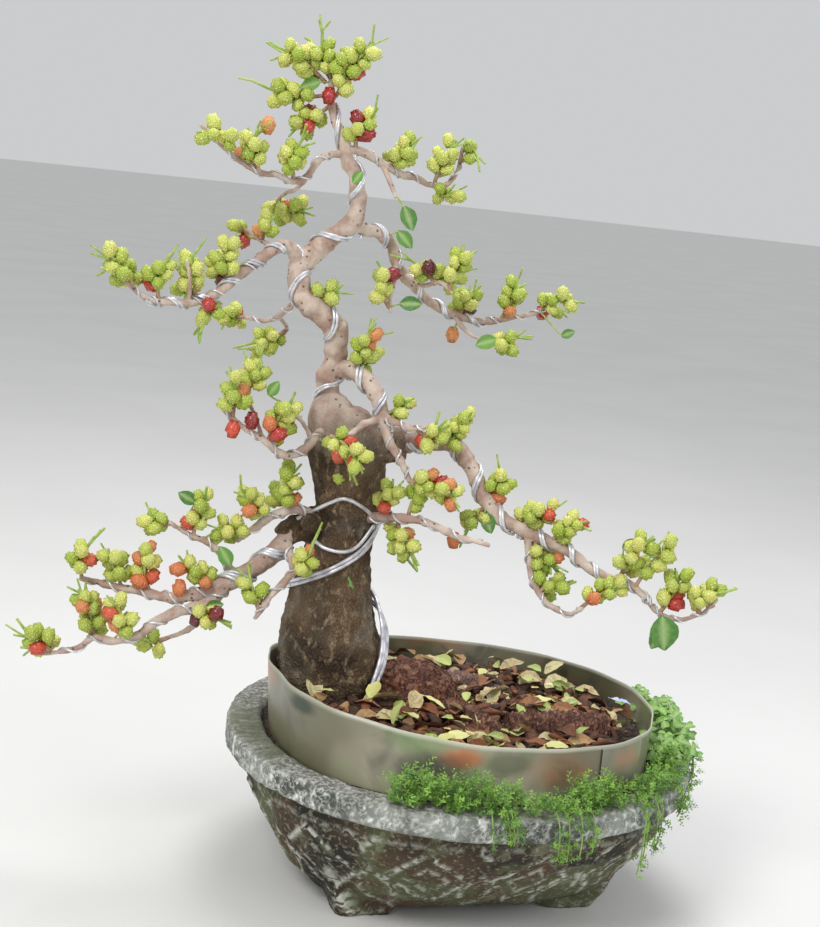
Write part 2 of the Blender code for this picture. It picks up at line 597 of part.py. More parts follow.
def winding(limb_run, start, end, turns, phase_deg, wire_radius):
    """A wire wound round a limb between two shares of its length."""
    fine = frames_along(smooth_run(limb_run, 0.002))
    lengths = [0.0]
    for first, second in zip(fine, fine[1:]):
        lengths.append(lengths[-1] + (second[0] - first[0]).length)
    steps = max(8, round(WIRE_STEPS * turns))
    run = []
    index = 0
    for step in range(steps + 1):
        share = start + (end - start) * step / steps
        while index < len(fine) - 2 and lengths[index + 1] < share * lengths[-1]:
            index += 1
        place, radius, _, side, up = fine[index]
        angle = math.radians(phase_deg) + math.tau * turns * step / steps
        reach = radius + wire_radius + WIRE_CLEAR
        run.append((place + (side * math.cos(angle) + up * math.sin(angle)) * reach, wire_radius))
    return run


def trunk_winding(points, wire_radius):
    """A wire that follows angle and height round the lower trunk."""
    trunk = smooth_run(limb_points(LOWER_TRUNK), 0.004)
    run = []
    for (angle_from, up_from), (angle_to, up_to) in zip(points, points[1:]):
        for step in range(3):
            share = step / 3
            height = TRUNK_WIRE_FOOT + ((up_from + (up_to - up_from) * share) * MM - TRUNK_WIRE_FOOT) * TREE_SCALE
            angle = math.radians(angle_from + (angle_to - angle_from) * share)
            place, radius = min(trunk, key=lambda item: abs(item[0].z - height))
            reach = radius + wire_radius + 2 * WIRE_CLEAR
            way = Vector((math.cos(angle), math.sin(angle) * TRUNK_DEPTH_SHARE, 0))
            run.append((Vector((place.x, place.y, height)) + way * reach, wire_radius))
    return run


def is_clear(middle, reach):
    """Whether a ball of this reach misses every surface claimed so far."""
    return all(tree.find_nearest(middle)[3] >= reach for tree in placed)


def make_spray(name, shoot, most, finish):
    """A short shoot with fruit set round it in a spiral wherever there is room."""
    run = smooth_run([(seen(*point), SHOOT_RADIUS) for point in shoot], 0.010)
    spray = add_object(name, tube(run, TWIG_SIDES), finish)
    frames = frames_along(smooth_run([(seen(*point), SHOOT_RADIUS) for point in shoot], FRUIT_PITCH))
    reach = FRUIT_RADIUS + GAP
    set_fruit = []
    for index, (place, _, tangent, side, up) in enumerate(frames[1:]):
        if len(set_fruit) >= most:
            break
        angle = GOLDEN_TURN * index
        way = (side * math.cos(angle) + up * math.sin(angle) + tangent * 0.5).normalized()
        middle = place + way * (SHOOT_RADIUS + FRUIT_HALF_LENGTH * 0.72)
        tips = [middle + way * offset * (FRUIT_HALF_LENGTH - FRUIT_RADIUS) for offset in (-1, 0, 1)]
        if not all(is_clear(tip, reach) for tip in tips[1:]) or not is_clear(tips[0], FRUIT_RADIUS * 0.8):
            continue
        if any((middle - other).length < 2 * FRUIT_RADIUS + 0.0012 for other in set_fruit):
            continue
        builder = bmesh.new()
        bmesh.ops.create_icosphere(builder, subdivisions=1, radius=1)
        turn = way.to_track_quat("Z", "Y").to_matrix().to_4x4()
        size = Matrix.Diagonal((FRUIT_RADIUS, FRUIT_RADIUS, FRUIT_HALF_LENGTH, 1))
        bmesh.ops.transform(builder, matrix=Matrix.Translation(middle) @ turn @ size, verts=builder.verts)
        fruit = add_object(f"{name}_berry_{index}", builder, None, helper=True)
        join_or_cut(spray, fruit, "UNION")
        set_fruit.append(middle)
    bake(spray)
    claim(spray)


def ledge_patch(name, start_deg, end_deg, inner, outer, height, finish):
    """A low lumpy cushion of weeds on the rim between two angles round the pot."""
    builder = bmesh.new()
    steps = 14
    rows = []
    for step in range(steps + 1):
        share = step / steps
        angle = math.radians(start_deg + (end_deg - start_deg) * share)
        swell = math.sin(math.pi * (0.06 + 0.88 * share)) ** 0.5
        row = []
        for radial, lift in ((0, 0), (1, 0), (0.9, 0.55), (0.5, 1.0), (0.08, 0.8)):
            reach = inner + (outer - inner) * radial
            across = (POT_HALF_LENGTH - reach) * math.cos(angle)
            deep = (POT_HALF_DEPTH - reach) * math.sin(angle)
            lump = 1 + 0.35 * noise.noise(Vector((across * 60, deep * 60, lift * 2)))
            row.append(builder.verts.new(POT_TURN @ Vector((across, deep, POT_HEIGHT + GAP + lift * height * swell * lump))))
        rows.append(row)
    for first, second in zip(rows, rows[1:]):
        for index in range(5):
            builder.faces.new((first[index - 1], first[index], second[index], second[index - 1]))
    builder.faces.new(rows[0])
    builder.faces.new(rows[-1])
    return add_object(name, builder, finish)


def make_trail(name, angle_deg, drop, finish):
    """A strand of weed that hangs over the rim in front of its face."""
    angle = math.radians(angle_deg)
    out = Vector((math.cos(angle), math.sin(angle), 0))
    points = []
    for reach, height in ((-0.0012, 0.0026), (0.0022, 0.0020), (0.0046, -0.003), (0.0052, -drop / 2), (0.0048, -drop)):
        place = Vector(((POT_HALF_LENGTH + reach) * out.x, (POT_HALF_DEPTH + reach) * out.y, POT_HEIGHT + height))
        points.append((POT_TURN @ place, 0.0018))
    return add_object(name, tube(smooth_run(points, 0.006), TWIG_SIDES), finish)


def make_leaf(name, tip_way, place, length, width, finish):
    """A pointed leaf about a millimetre thick, cupped along its middle."""
    builder = bmesh.new()
    thick = 0.0009
    steps = 7
    left, middle, right = [], [], []
    for step in range(steps):
        share = step / (steps - 1)
        half = width / 2 * math.sin(math.pi * min(1, 0.06 + share * 0.92)) ** 0.8
        along = length * share
        left.append(Vector((along, half, half * 0.3)))
        middle.append(Vector((along, 0, 0)))
        right.append(Vector((along, -half, half * 0.3)))
    turn = tip_way.to_track_quat("X", "Z").to_matrix()
    down = Vector((0, 0, -thick))
    rings = []
    for index in range(steps):
        section = (left[index], middle[index], right[index], right[index] + down, middle[index] + down, left[index] + down)
        rings.append([builder.verts.new(place + turn @ corner) for corner in section])
    for first, second in zip(rings, rings[1:]):
        for index in range(6):
            builder.faces.new((first[index - 1], first[index], second[index], second[index - 1]))
    builder.faces.new(rings[0])
    builder.faces.new(rings[-1])
    return add_object(name, builder, finish)


def make_fallen_leaf(name, across, deep, turn_deg, length, finish, ground):
    """A dry leaf lying level on the highest soil under it."""
    builder = bmesh.new()
    outline = []
    for index in range(12):
        angle = math.tau * index / 12
        reach = length / 2 * (1 - 0.42 * abs(math.sin(angle)) ** 0.7)
        way = angle + math.radians(turn_deg)
        outline.append(POT_TURN @ Vector((across * MM + reach * math.cos(way), deep * MM + reach * math.sin(way), 0)))
    highest = 0.0
    for place in outline + [sum(outline, Vector()) / len(outline)]:
        for share in (0.35, 0.7, 1.0):
            spot = place * share + POT_TURN @ Vector((across * MM, deep * MM, 0)) * (1 - share)
            hit = ground.ray_cast(Vector((spot.x, spot.y, 1)), Vector((0, 0, -1)))
            highest = max(highest, hit[0].z)
    low = Vector((0, 0, highest + 3 * GAP))
    rings = [[place + low for place in outline], [place + low + Vector((0, 0, 0.001)) for place in outline]]
    builder.free()
    return add_object(name, skin(rings), finish)


def place_origin():
    """Moves everything so that the origin is the middle of the base of the bounding box."""
    bpy.context.view_layer.update()
    low = Vector((1e9, 1e9, 1e9))
    high = -low
    graph = bpy.context.evaluated_depsgraph_get()
    for obj in bpy.context.scene.objects:
        if obj.hide_render:
            continue
        mesh = obj.evaluated_get(graph).to_mesh()
        for vert in mesh.vertices:
            low = Vector(map(min, low, vert.co))
            high = Vector(map(max, high, vert.co))
    shift = Vector((-(low.x + high.x) / 2, -(low.y + high.y) / 2, -low.z))
    for obj in bpy.context.scene.objects:
        obj.data.transform(Matrix.Translation(shift))


def main():
    for obj in list(bpy.data.objects):
        bpy.data.objects.remove(obj)
    cement = material("weathered_cement", (0.33, 0.34, 0.32), 0.9)
    bark = material("rough_bark", (0.16, 0.10, 0.06), 0.9)
    pale_bark = material("pale_bark", (0.52, 0.40, 0.32), 0.8)
    earth = material("potting_soil", (0.06, 0.04, 0.03), 1.0)
    sheet = material("weathered_sheet", (0.42, 0.40, 0.28), 0.4)
    root_brown = material("root_brown", (0.30, 0.12, 0.08), 0.9)
    wire = material("aluminium_wire", (0.78, 0.78, 0.80), 0.35, 1.0)
    fruit = material("unripe_fruit", (0.55, 0.68, 0.18), 0.5)
    moss = material("weed_green", (0.16, 0.42, 0.06), 0.8)
    leaf = material("leaf_green", (0.08, 0.30, 0.07), 0.6)
    dry = material("dry_leaf", (0.62, 0.50, 0.20), 0.8)
    black_mesh = material("drain_plastic", (0.03, 0.03, 0.03), 0.6)

    make_pot(cement)
    make_drain_mesh("drain_mesh_left", -1, black_mesh)
    make_drain_mesh("drain_mesh_right", 1, black_mesh)
    make_collar("soil_collar", sheet)

    trunk_runs = [LOWER_TRUNK, UPPER_TRUNK, RIGHT_STUB, FRONT_STUB, KNOT]
    trunk_cut = wood_cutters(
        [(LOWER_TRUNK, TRUNK_SIDES, TRUNK_DEPTH_SHARE)] + [(run, 8, 1.0) for run in trunk_runs[1:]]
    )
    trunk = make_wood("trunk", trunk_runs, (TRUNK_SIDES, 8), TRUNK_SPACING, bark, depth_share=TRUNK_DEPTH_SHARE)
    mound, roots, root_cutters = make_roots(trunk_cut[0], root_brown, root_brown)
    soil = make_soil(earth)
    collar_slot = make_collar("collar_cutter", None, GAP, 0.05, helper=True)
    pockets = []
    for across in (-1, 1):
        low = FOOT_HEIGHT + POT_FLOOR
        pocket = drain_ring(across, MESH_RADIUS + GAP, low, low + MESH_THICK + 2 * GAP, 20)
        pockets.append(add_object("pocket_cutter", pocket, None, helper=True))
    for cutter in [collar_slot, trunk_cut[0], *pockets, *root_cutters]:
        join_or_cut(soil, cutter, "DIFFERENCE")

    wires, marks = make_wires(wire)
    limbs = []
    for name, runs in LIMBS.items():
        limbs.append(make_wood(name, runs, (LIMB_SIDES, TWIG_SIDES), LIMB_SPACING, pale_bark, trunk_cut))
    for wood in [trunk, *limbs]:
        press_marks(wood, marks)
    for obj in [trunk, mound, soil, *roots.values(), *limbs, *wires]:
        claim(obj)

    for name, (*shoot, most) in SPRAYS.items():
        make_spray(name, shoot, most, fruit)

    ledge_patch("weed_mat", 232, 322, 0.004, 0.024, 0.016, moss)
    ledge_patch("clover_patch", -34, 22, 0.003, 0.023, 0.026, moss)
    make_trail("weed_strand", 276, 0.050, moss)
    ground = BVHTree.FromObject(soil, bpy.context.evaluated_depsgraph_get())
    make_fallen_leaf("fallen_leaf_yellow", -20, -92, 20, 0.034, dry, ground)
    make_leaf("leaf_right_tip", Vector((0.6, -0.5, -0.6)), seen(158, 240, -84), 0.022, 0.018, leaf)
    place_origin()


main()
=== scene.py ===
import json
import random
from math import atan2, copysign, cos, pi, radians, sin, tau

import bmesh
import bpy
from bpy.props import FloatProperty, FloatVectorProperty, IntProperty, PointerProperty
from mathutils import Matrix, Vector, noise
from mathutils.bvhtree import BVHTree
from mathutils.kdtree import KDTree

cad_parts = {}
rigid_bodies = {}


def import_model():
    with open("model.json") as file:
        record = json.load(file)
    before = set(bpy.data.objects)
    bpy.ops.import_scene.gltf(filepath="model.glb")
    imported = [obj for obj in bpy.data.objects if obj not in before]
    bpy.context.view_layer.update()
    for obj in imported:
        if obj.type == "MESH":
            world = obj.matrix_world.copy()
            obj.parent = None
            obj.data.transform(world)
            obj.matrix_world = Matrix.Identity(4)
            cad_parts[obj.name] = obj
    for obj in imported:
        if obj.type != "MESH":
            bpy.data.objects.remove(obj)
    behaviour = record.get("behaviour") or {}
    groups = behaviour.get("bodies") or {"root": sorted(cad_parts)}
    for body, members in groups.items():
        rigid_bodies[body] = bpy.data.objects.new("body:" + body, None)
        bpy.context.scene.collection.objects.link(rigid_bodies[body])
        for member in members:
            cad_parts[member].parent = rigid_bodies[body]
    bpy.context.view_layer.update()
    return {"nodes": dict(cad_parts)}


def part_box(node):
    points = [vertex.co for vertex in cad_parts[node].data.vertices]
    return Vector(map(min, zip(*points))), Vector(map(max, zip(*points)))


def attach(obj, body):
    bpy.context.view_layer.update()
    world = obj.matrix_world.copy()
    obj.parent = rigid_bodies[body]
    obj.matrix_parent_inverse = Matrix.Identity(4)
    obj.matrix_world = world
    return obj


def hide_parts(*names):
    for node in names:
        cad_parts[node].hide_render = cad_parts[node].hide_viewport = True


bl_info = {
    "name": "Fruiting Mulberry Bonsai",
    "version": (1, 0, 0),
    "blender": (4, 5, 0),
    "location": "View3D > Sidebar > Bonsai",
    "description": "Grows a wired mulberry bonsai, its pot, its soil and its weeds over a fixed frame",
    "category": "Object",
}

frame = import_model()

MM = 0.001
POT_LOW, POT_HIGH = (Vector(corner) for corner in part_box("pot"))
MIDDLE = Vector(((POT_LOW.x + POT_HIGH.x) / 2, (POT_LOW.y + POT_HIGH.y) / 2, 0))
POT_TURN = Matrix.Rotation(radians(17.9), 4, "Z")
POT_PLACE = Matrix.Translation(MIDDLE) @ POT_TURN
POT_HEIGHT = POT_HIGH.z
RIM_THICK = 0.021
RIM_LEDGE = 0.029
POT_WALL = 0.016
FOOT_HEIGHT = 0.01
POT_FLOOR = 0.014
EYE = Vector((-0.065, -1.328, 0.596))
TREE_FOOT = Vector((-0.112, -0.005, 0))
GOLDEN_TURN = radians(137.5)
WIRE_BITE = 0.0002

# Collar, on the pot's axes.
COLLAR_FOOT = (0.158, 0.146)
COLLAR_FULL = (0.1645, 0.139)
COLLAR_SHIFT = (0.004, 0.009)
COLLAR_LOW = POT_HEIGHT - 0.013
COLLAR_TOPS = (0.186, 0.171)

# Points of wood: across, up, depth and radius in millimetres, laid out on the plane through the pot's middle.
LOWER_TRUNK = [
    (-112, 118, -5, 38), (-113, 150, -5, 40.5), (-115, 170, -5, 43), (-116, 190, -5, 41.5),
    (-118, 211, -4, 37.5), (-120, 228, -3, 34), (-118, 253, -1, 29.5), (-116, 284, 2, 25.5),
    (-113, 315, 4, 25.5), (-114, 340, 5, 30), (-120, 364, 6, 32), (-130, 386, 6, 24), (-131, 398, 6, 17),
    (-128, 404, 6, 8),
]
UPPER_TRUNK = [
    (-128, 376, 6, 15), (-139, 407, 5, 12), (-136, 422, 3, 11.5), (-134, 439, 1, 11.5), (-135, 453, -1, 12),
    (-144, 464, -4, 12), (-158, 473, -6, 11.5), (-168, 484, -6, 11), (-172, 496, -4, 10.5),
    (-169, 506, 0, 10.5), (-160, 517, 4, 11), (-146, 530, 6, 10), (-134, 541, 6, 9), (-128, 551, 4, 8.5),
    (-129, 564, 0, 8), (-133, 580, -4, 7.5), (-141, 592, -6, 6.5), (-145, 607, -6, 5.5), (-154, 624, -4, 4.2),
    (-158, 640, -2, 3.4), (-159, 654, 0, 2.6),
]
RIGHT_STUB = [(-108, 362, 4, 17), (-88, 366, 2, 15), (-70, 368, 0, 13)]
FRONT_STUB = [(-139, 300, 0, 9), (-141, 294, -24, 8.5), (-141, 293, -30, 6)]
KNOT = [(-136, 290, 0, 13), (-153, 288, -8, 12), (-163, 278, -12, 10)]

# Each limb: its main run, then its side shoots.
LIMBS = {
    "upper_left": [
        [(-143, 596, -6, 3), (-152, 595, -10, 3.2), (-163, 590, -16, 3.2), (-171, 576, -22, 3),
         (-182, 570, -28, 2.8), (-195, 574, -34, 2.6), (-212, 575, -40, 2.4), (-231, 585, -46, 2),
         (-244, 594, -48, 1.7), (-260, 607, -48, 1.4)],
        [(-168, 580, -18, 2), (-178, 566, 2, 1.9), (-188, 560, 18, 1.7), (-194, 554, 28, 1.4)],
    ],
    "upper_right": [
        [(-142, 600, -6, 4), (-129, 599, -2, 4), (-113, 592, 8, 3.8), (-97, 585, 18, 3.4), (-85, 584, 26, 3),
         (-73, 579, 32, 2.6), (-61, 580, 36, 2.3), (-53, 590, 38, 2), (-50, 612, 40, 1.5)],
        [(-112, 591, 8, 2.4), (-104, 577, 2, 2.2), (-99, 566, -2, 1.6)],
    ],
    "left_middle": [
        [(-171, 503, 0, 6), (-178, 517, -8, 6), (-187, 518, -14, 5.6), (-197, 511, -20, 5.2),
         (-208, 501, -28, 4.8), (-219, 492, -36, 4.4), (-235, 475, -46, 4), (-255, 465, -56, 3.6),
         (-268, 464, -62, 3.2), (-284, 463, -68, 2.8), (-298, 468, -74, 2.4), (-312, 478, -78, 1.8)],
        [(-189, 517, -14, 2.4), (-204, 521, -6, 2.1), (-214, 528, 0, 1.6)],
        [(-258, 465, -57, 2), (-258, 482, -64, 1.8), (-262, 499, -68, 1.5)],
    ],
    "back_left": [
        [(-168, 482, 0, 3.4), (-173, 473, 26, 3.2), (-180, 466, 52, 2.8), (-190, 458, 78, 2.4),
         (-203, 457, 98, 2), (-213, 458, 108, 1.6)],
        [(-184, 462, 64, 1.8), (-176, 452, 84, 1.6), (-184, 444, 104, 1.4), (-203, 438, 116, 1.2)],
    ],
    "right_middle": [
        [(-133, 540, 6, 6), (-121, 538, 14, 6), (-108, 536, 22, 5.8), (-99, 529, 28, 5.6),
         (-94, 516, 34, 5.4), (-86, 505, 40, 5), (-72, 494, 46, 4.6), (-60, 485, 50, 4.2),
         (-46, 479, 54, 3.8), (-20, 475, 60, 3.2), (7, 482, 64, 2.4), (25, 488, 66, 2), (46, 509, 66, 1.4)],
        [(-88, 507, 40, 2.6), (-72, 499, 24, 2.2), (-56, 503, 10, 1.9), (-46, 495, 2, 1.6)],
        [(-94, 518, 34, 2.4), (-93, 504, 18, 2.1), (-95, 488, 8, 1.8), (-94, 474, 2, 1.5)],
        [(-44, 479, 54, 2.2), (-30, 465, 42, 1.9), (-14, 459, 34, 1.5)],
    ],
    "right_low": [
        [(-133, 424, 2, 8), (-122, 424, -8, 8), (-112, 420, -16, 7.8), (-102, 411, -22, 7.4),
         (-95, 399, -26, 7), (-90, 386, -28, 5.6), (-86, 373, -32, 4.2), (-73, 354, -38, 3.4),
         (-63, 337, -44, 2.4)],
        [(-90, 388, -28, 4), (-80, 385, -34, 3.4), (-64, 382, -42, 2.6), (-54, 385, -46, 1.8)],
        [(-93, 388, -28, 3.4), (-106, 381, -40, 3), (-116, 372, -50, 2.6), (-124, 369, -56, 2)],
    ],
    "right_pale": [
        [(-72, 368, 0, 9), (-50, 373, -8, 8.6), (-30, 371, -14, 8), (-17, 358, -18, 7.4), (-7, 341, -22, 7),
         (5, 323, -26, 6.6), (22, 311, -30, 6.2), (42, 304, -36, 5.8), (60, 298, -42, 5.4),
         (76, 292, -46, 5), (92, 281, -52, 4.5), (108, 274, -58, 4), (126, 272, -64, 3.2),
         (140, 262, -70, 2.6), (155, 249, -76, 2.2), (172, 245, -80, 1.9), (190, 252, -84, 1.6),
         (202, 266, -86, 1.3)],
        [(38, 305, -34, 4), (42, 286, -40, 3.6), (47, 266, -48, 3.2), (57, 251, -56, 2.8),
         (70, 242, -64, 2.4), (82, 240, -70, 2.1), (92, 247, -74, 1.8)],
    ],
    "right_lower": [
        [(-100, 303, 0, 5), (-84, 305, -22, 4.6), (-66, 306, -36, 4), (-44, 304, -46, 3.4),
         (-22, 296, -54, 2.8), (-4, 293, -58, 2.2), (8, 291, -60, 1.6)],
    ],
    "left_centre": [
        [(-139, 372, -8, 4.4), (-145, 366, -34, 4.2), (-152, 355, -46, 4), (-164, 348, -54, 3.8),
         (-175, 350, -60, 3.4), (-188, 360, -66, 3), (-202, 366, -70, 2.6), (-216, 376, -72, 2.1),
         (-228, 385, -72, 1.6)],
        [(-147, 364, -38, 2.2), (-158, 379, -46, 2), (-170, 386, -50, 1.7), (-178, 393, -52, 1.4)],
        [(-188, 360, -66, 2.2), (-196, 379, -62, 1.9), (-205, 392, -58, 1.7), (-211, 403, -56, 1.4)],
    ],
    "left_low": [
        [(-158, 283, -12, 8.6), (-164, 274, -20, 8.6), (-172, 261, -28, 8.4), (-184, 251, -36, 8.2),
         (-196, 242, -44, 8), (-207, 234, -50, 7.6), (-228, 224, -56, 6), (-251, 217, -60, 5),
         (-276, 219, -62, 4), (-300, 221, -62, 3.2), (-316, 224, -60, 2.6), (-330, 225, -58, 2)],
        [(-205, 235, -50, 6), (-222, 214, -60, 5.4), (-244, 206, -68, 5), (-260, 197, -74, 4.6),
         (-270, 187, -78, 4.2), (-282, 179, -80, 3.8), (-298, 174, -80, 3.4), (-314, 175, -76, 3),
         (-325, 166, -72, 2.6), (-340, 160, -68, 2.2), (-358, 156, -64, 1.6)],
        [(-200, 240, -46, 4), (-208, 250, -44, 3.6), (-222, 266, -44, 3), (-240, 272, -46, 2.4),
         (-260, 282, -48, 1.6)],
        [(-204, 236, -48, 4), (-218, 214, -42, 3.2), (-233, 193, -38, 2.6), (-250, 183, -34, 2),
         (-262, 179, -32, 1.5)],
        [(-161, 279, -15, 4), (-157, 266, -36, 3.8), (-152, 252, -46, 3.6), (-158, 242, -52, 3.4),
         (-170, 227, -58, 3), (-176, 215, -62, 2.4), (-181, 206, -64, 1.8)],
    ],
    "left_lower": [
        [(-136, 300, -10, 4.6), (-154, 304, -26, 4.4), (-172, 297, -34, 4), (-188, 284, -34, 3.4),
         (-202, 272, -30, 2.6)],
    ],
}


# Wires: the run they wind, shares of it where they start and end, turns, phase in degrees, radius, strands.
WINDINGS = [
    ("trunk_top", 0.06, 0.93, 5.9, 40, 1.5, 2), ("left_middle", 0.04, 0.86, 5.9, 200, 1.4, 2),
    ("left_middle", 0.3, 0.94, 6.7, 20, 1.0, 1), ("right_middle", 0.03, 0.7, 5.5, 60, 1.5, 2),
    ("right_middle", 0.55, 0.97, 5.2, 10, 1.0, 1), ("right_low", 0.08, 0.62, 2.4, 100, 1.6, 2),
    ("right_low_side_0", 0.1, 0.9, 2.2, 0, 1.0, 1), ("right_low", 0.6, 0.97, 3.0, 30, 1.0, 1),
    ("right_pale", 0.02, 0.4, 3.3, 0, 1.6, 2), ("right_pale", 0.42, 0.8, 4.8, 60, 1.5, 2),
    ("right_pale", 0.78, 0.98, 3.7, 0, 1.0, 1), ("right_pale_side_0", 0.05, 0.95, 4.4, 90, 1.0, 1),
    ("right_lower", 0.15, 0.95, 3.7, 0, 1.1, 1), ("left_low", 0.08, 0.4, 1.7, 150, 1.9, 3),
    ("left_low", 0.42, 0.97, 4.4, 30, 1.1, 1), ("left_low_side_0", 0.02, 0.93, 5.9, 60, 1.1, 1),
    ("left_low_side_1", 0.1, 0.9, 3.0, 60, 0.9, 1), ("left_low_side_3", 0.15, 0.95, 3.7, 120, 1.0, 1),
    ("left_centre", 0.15, 0.95, 4.4, 120, 1.1, 1), ("left_lower", 0.1, 0.95, 3.0, 0, 1.1, 1),
    ("upper_left", 0.06, 0.9, 5.2, 10, 0.9, 1), ("upper_right", 0.06, 0.9, 5.2, 70, 0.9, 1),
    ("back_left", 0.06, 0.9, 3.7, 0, 0.9, 1),
]

# Wires round the trunk: angle in degrees from +X towards +Y, height and stand-off in millimetres.
TRUNK_WIRES = {
    "trunk_wire_long": [(-40, 148, 2), (-30, 168, 2), (-14, 190, 4), (2, 214, 7), (40, 226, 3),
                        (110, 232, 1), (180, 238, 1), (225, 249, 1), (270, 263, 2), (315, 279, 3),
                        (350, 300, 3), (375, 322, 2)],
    "trunk_wire_second": [(-46, 148, 2), (-36, 170, 2), (-20, 194, 4), (-6, 220, 6), (40, 236, 3),
                          (110, 243, 1), (170, 250, 1), (200, 262, 1)],
    "trunk_wire_short": [(228, 284, 2), (250, 280, 1), (280, 279, 1), (305, 284, 1), (330, 300, 2)],
    "trunk_wire_high": [(210, 300, 2), (240, 316, 1), (270, 322, 1), (310, 312, 1), (350, 296, 2)],
}

# Fruiting shoots: across and up in millimetres of foot, middle and tip, and how many fruit each bears.
SHOOTS = [
    (-159, 652, -168, 672, -170, 690, 7), (-153, 650, -142, 668, -128, 684, 8),
    (-164, 650, -182, 664, -206, 674, 8), (-163, 640, -190, 636, -224, 646, 9),
    (-159, 632, -172, 620, -188, 610, 8), (-155, 640, -150, 650, -150, 664, 6),
    (-182, 572, -184, 590, -178, 604, 7), (-210, 575, -216, 592, -214, 610, 7),
    (-238, 590, -236, 598, -250, 602, 6), (-192, 556, -188, 548, -172, 548, 6),
    (-135, 600, -134, 616, -122, 630, 7), (-106, 588, -99, 600, -88, 612, 7),
    (-70, 580, -65, 598, -56, 616, 8), (-60, 582, -62, 572, -54, 574, 4), (-50, 600, -43, 610, -38, 606, 3),
    (-226, 485, -232, 500, -228, 512, 8), (-250, 468, -256, 482, -258, 504, 8),
    (-282, 464, -284, 482, -276, 502, 7), (-304, 472, -310, 484, -326, 494, 7),
    (-203, 520, -200, 532, -194, 542, 5), (-214, 526, -220, 530, -212, 522, 3),
    (-212, 458, -222, 458, -232, 462, 5), (-176, 452, -190, 442, -208, 436, 8),
    (-153, 474, -146, 484, -136, 486, 4), (-118, 424, -112, 440, -109, 460, 8),
    (-95, 478, -104, 492, -100, 508, 7), (-60, 500, -70, 512, -82, 518, 5), (-48, 497, -48, 510, -40, 524, 6),
    (-38, 477, -34, 488, -28, 498, 6), (-4, 479, 2, 494, 5, 508, 8), (24, 488, 36, 496, 46, 500, 6),
    (-14, 459, 0, 458, 12, 468, 6), (-214, 376, -214, 394, -216, 412, 8),
    (-184, 356, -178, 374, -166, 394, 9), (-206, 394, -198, 410, -195, 430, 6),
    (-132, 368, -122, 364, -106, 348, 9), (-160, 302, -164, 316, -160, 336, 9),
    (-178, 294, -190, 304, -202, 316, 8), (-130, 304, -124, 318, -118, 332, 7),
    (-84, 306, -82, 318, -74, 332, 7), (-62, 306, -60, 320, -54, 334, 7), (-70, 304, -66, 292, -56, 278, 7),
    (-62, 381, -52, 376, -44, 384, 5), (-38, 373, -30, 386, -18, 394, 8), (-64, 338, -44, 336, -24, 326, 11),
    (-6, 334, 12, 342, 8, 358, 7), (32, 308, 42, 320, 58, 326, 8), (58, 299, 68, 312, 86, 320, 9),
    (44, 300, 52, 288, 64, 278, 6), (90, 246, 102, 258, 118, 266, 9), (54, 254, 60, 264, 72, 262, 5),
    (118, 273, 124, 290, 142, 314, 9), (132, 268, 144, 292, 160, 308, 7), (156, 250, 164, 264, 168, 280, 8),
    (188, 252, 190, 268, 206, 272, 7), (-238, 272, -236, 288, -230, 304, 9),
    (-256, 281, -267, 278, -276, 286, 6), (-224, 226, -226, 236, -240, 244, 8),
    (-226, 212, -222, 206, -210, 202, 6), (-270, 219, -276, 234, -276, 252, 9),
    (-294, 221, -300, 234, -306, 246, 7), (-328, 225, -330, 242, -320, 262, 7),
    (-290, 175, -292, 196, -302, 210, 9), (-318, 172, -318, 192, -330, 216, 9),
    (-350, 158, -360, 168, -374, 170, 6), (-252, 182, -264, 176, -274, 182, 4),
    (-178, 214, -184, 230, -188, 240, 5), (-154, 246, -142, 262, -138, 278, 7),
    (-196, 275, -206, 282, -218, 280, 6), (-94, 388, -84, 394, -76, 404, 5), (0, 324, -6, 310, -14, 300, 5),
    (-244, 470, -240, 458, -246, 448, 3),
]

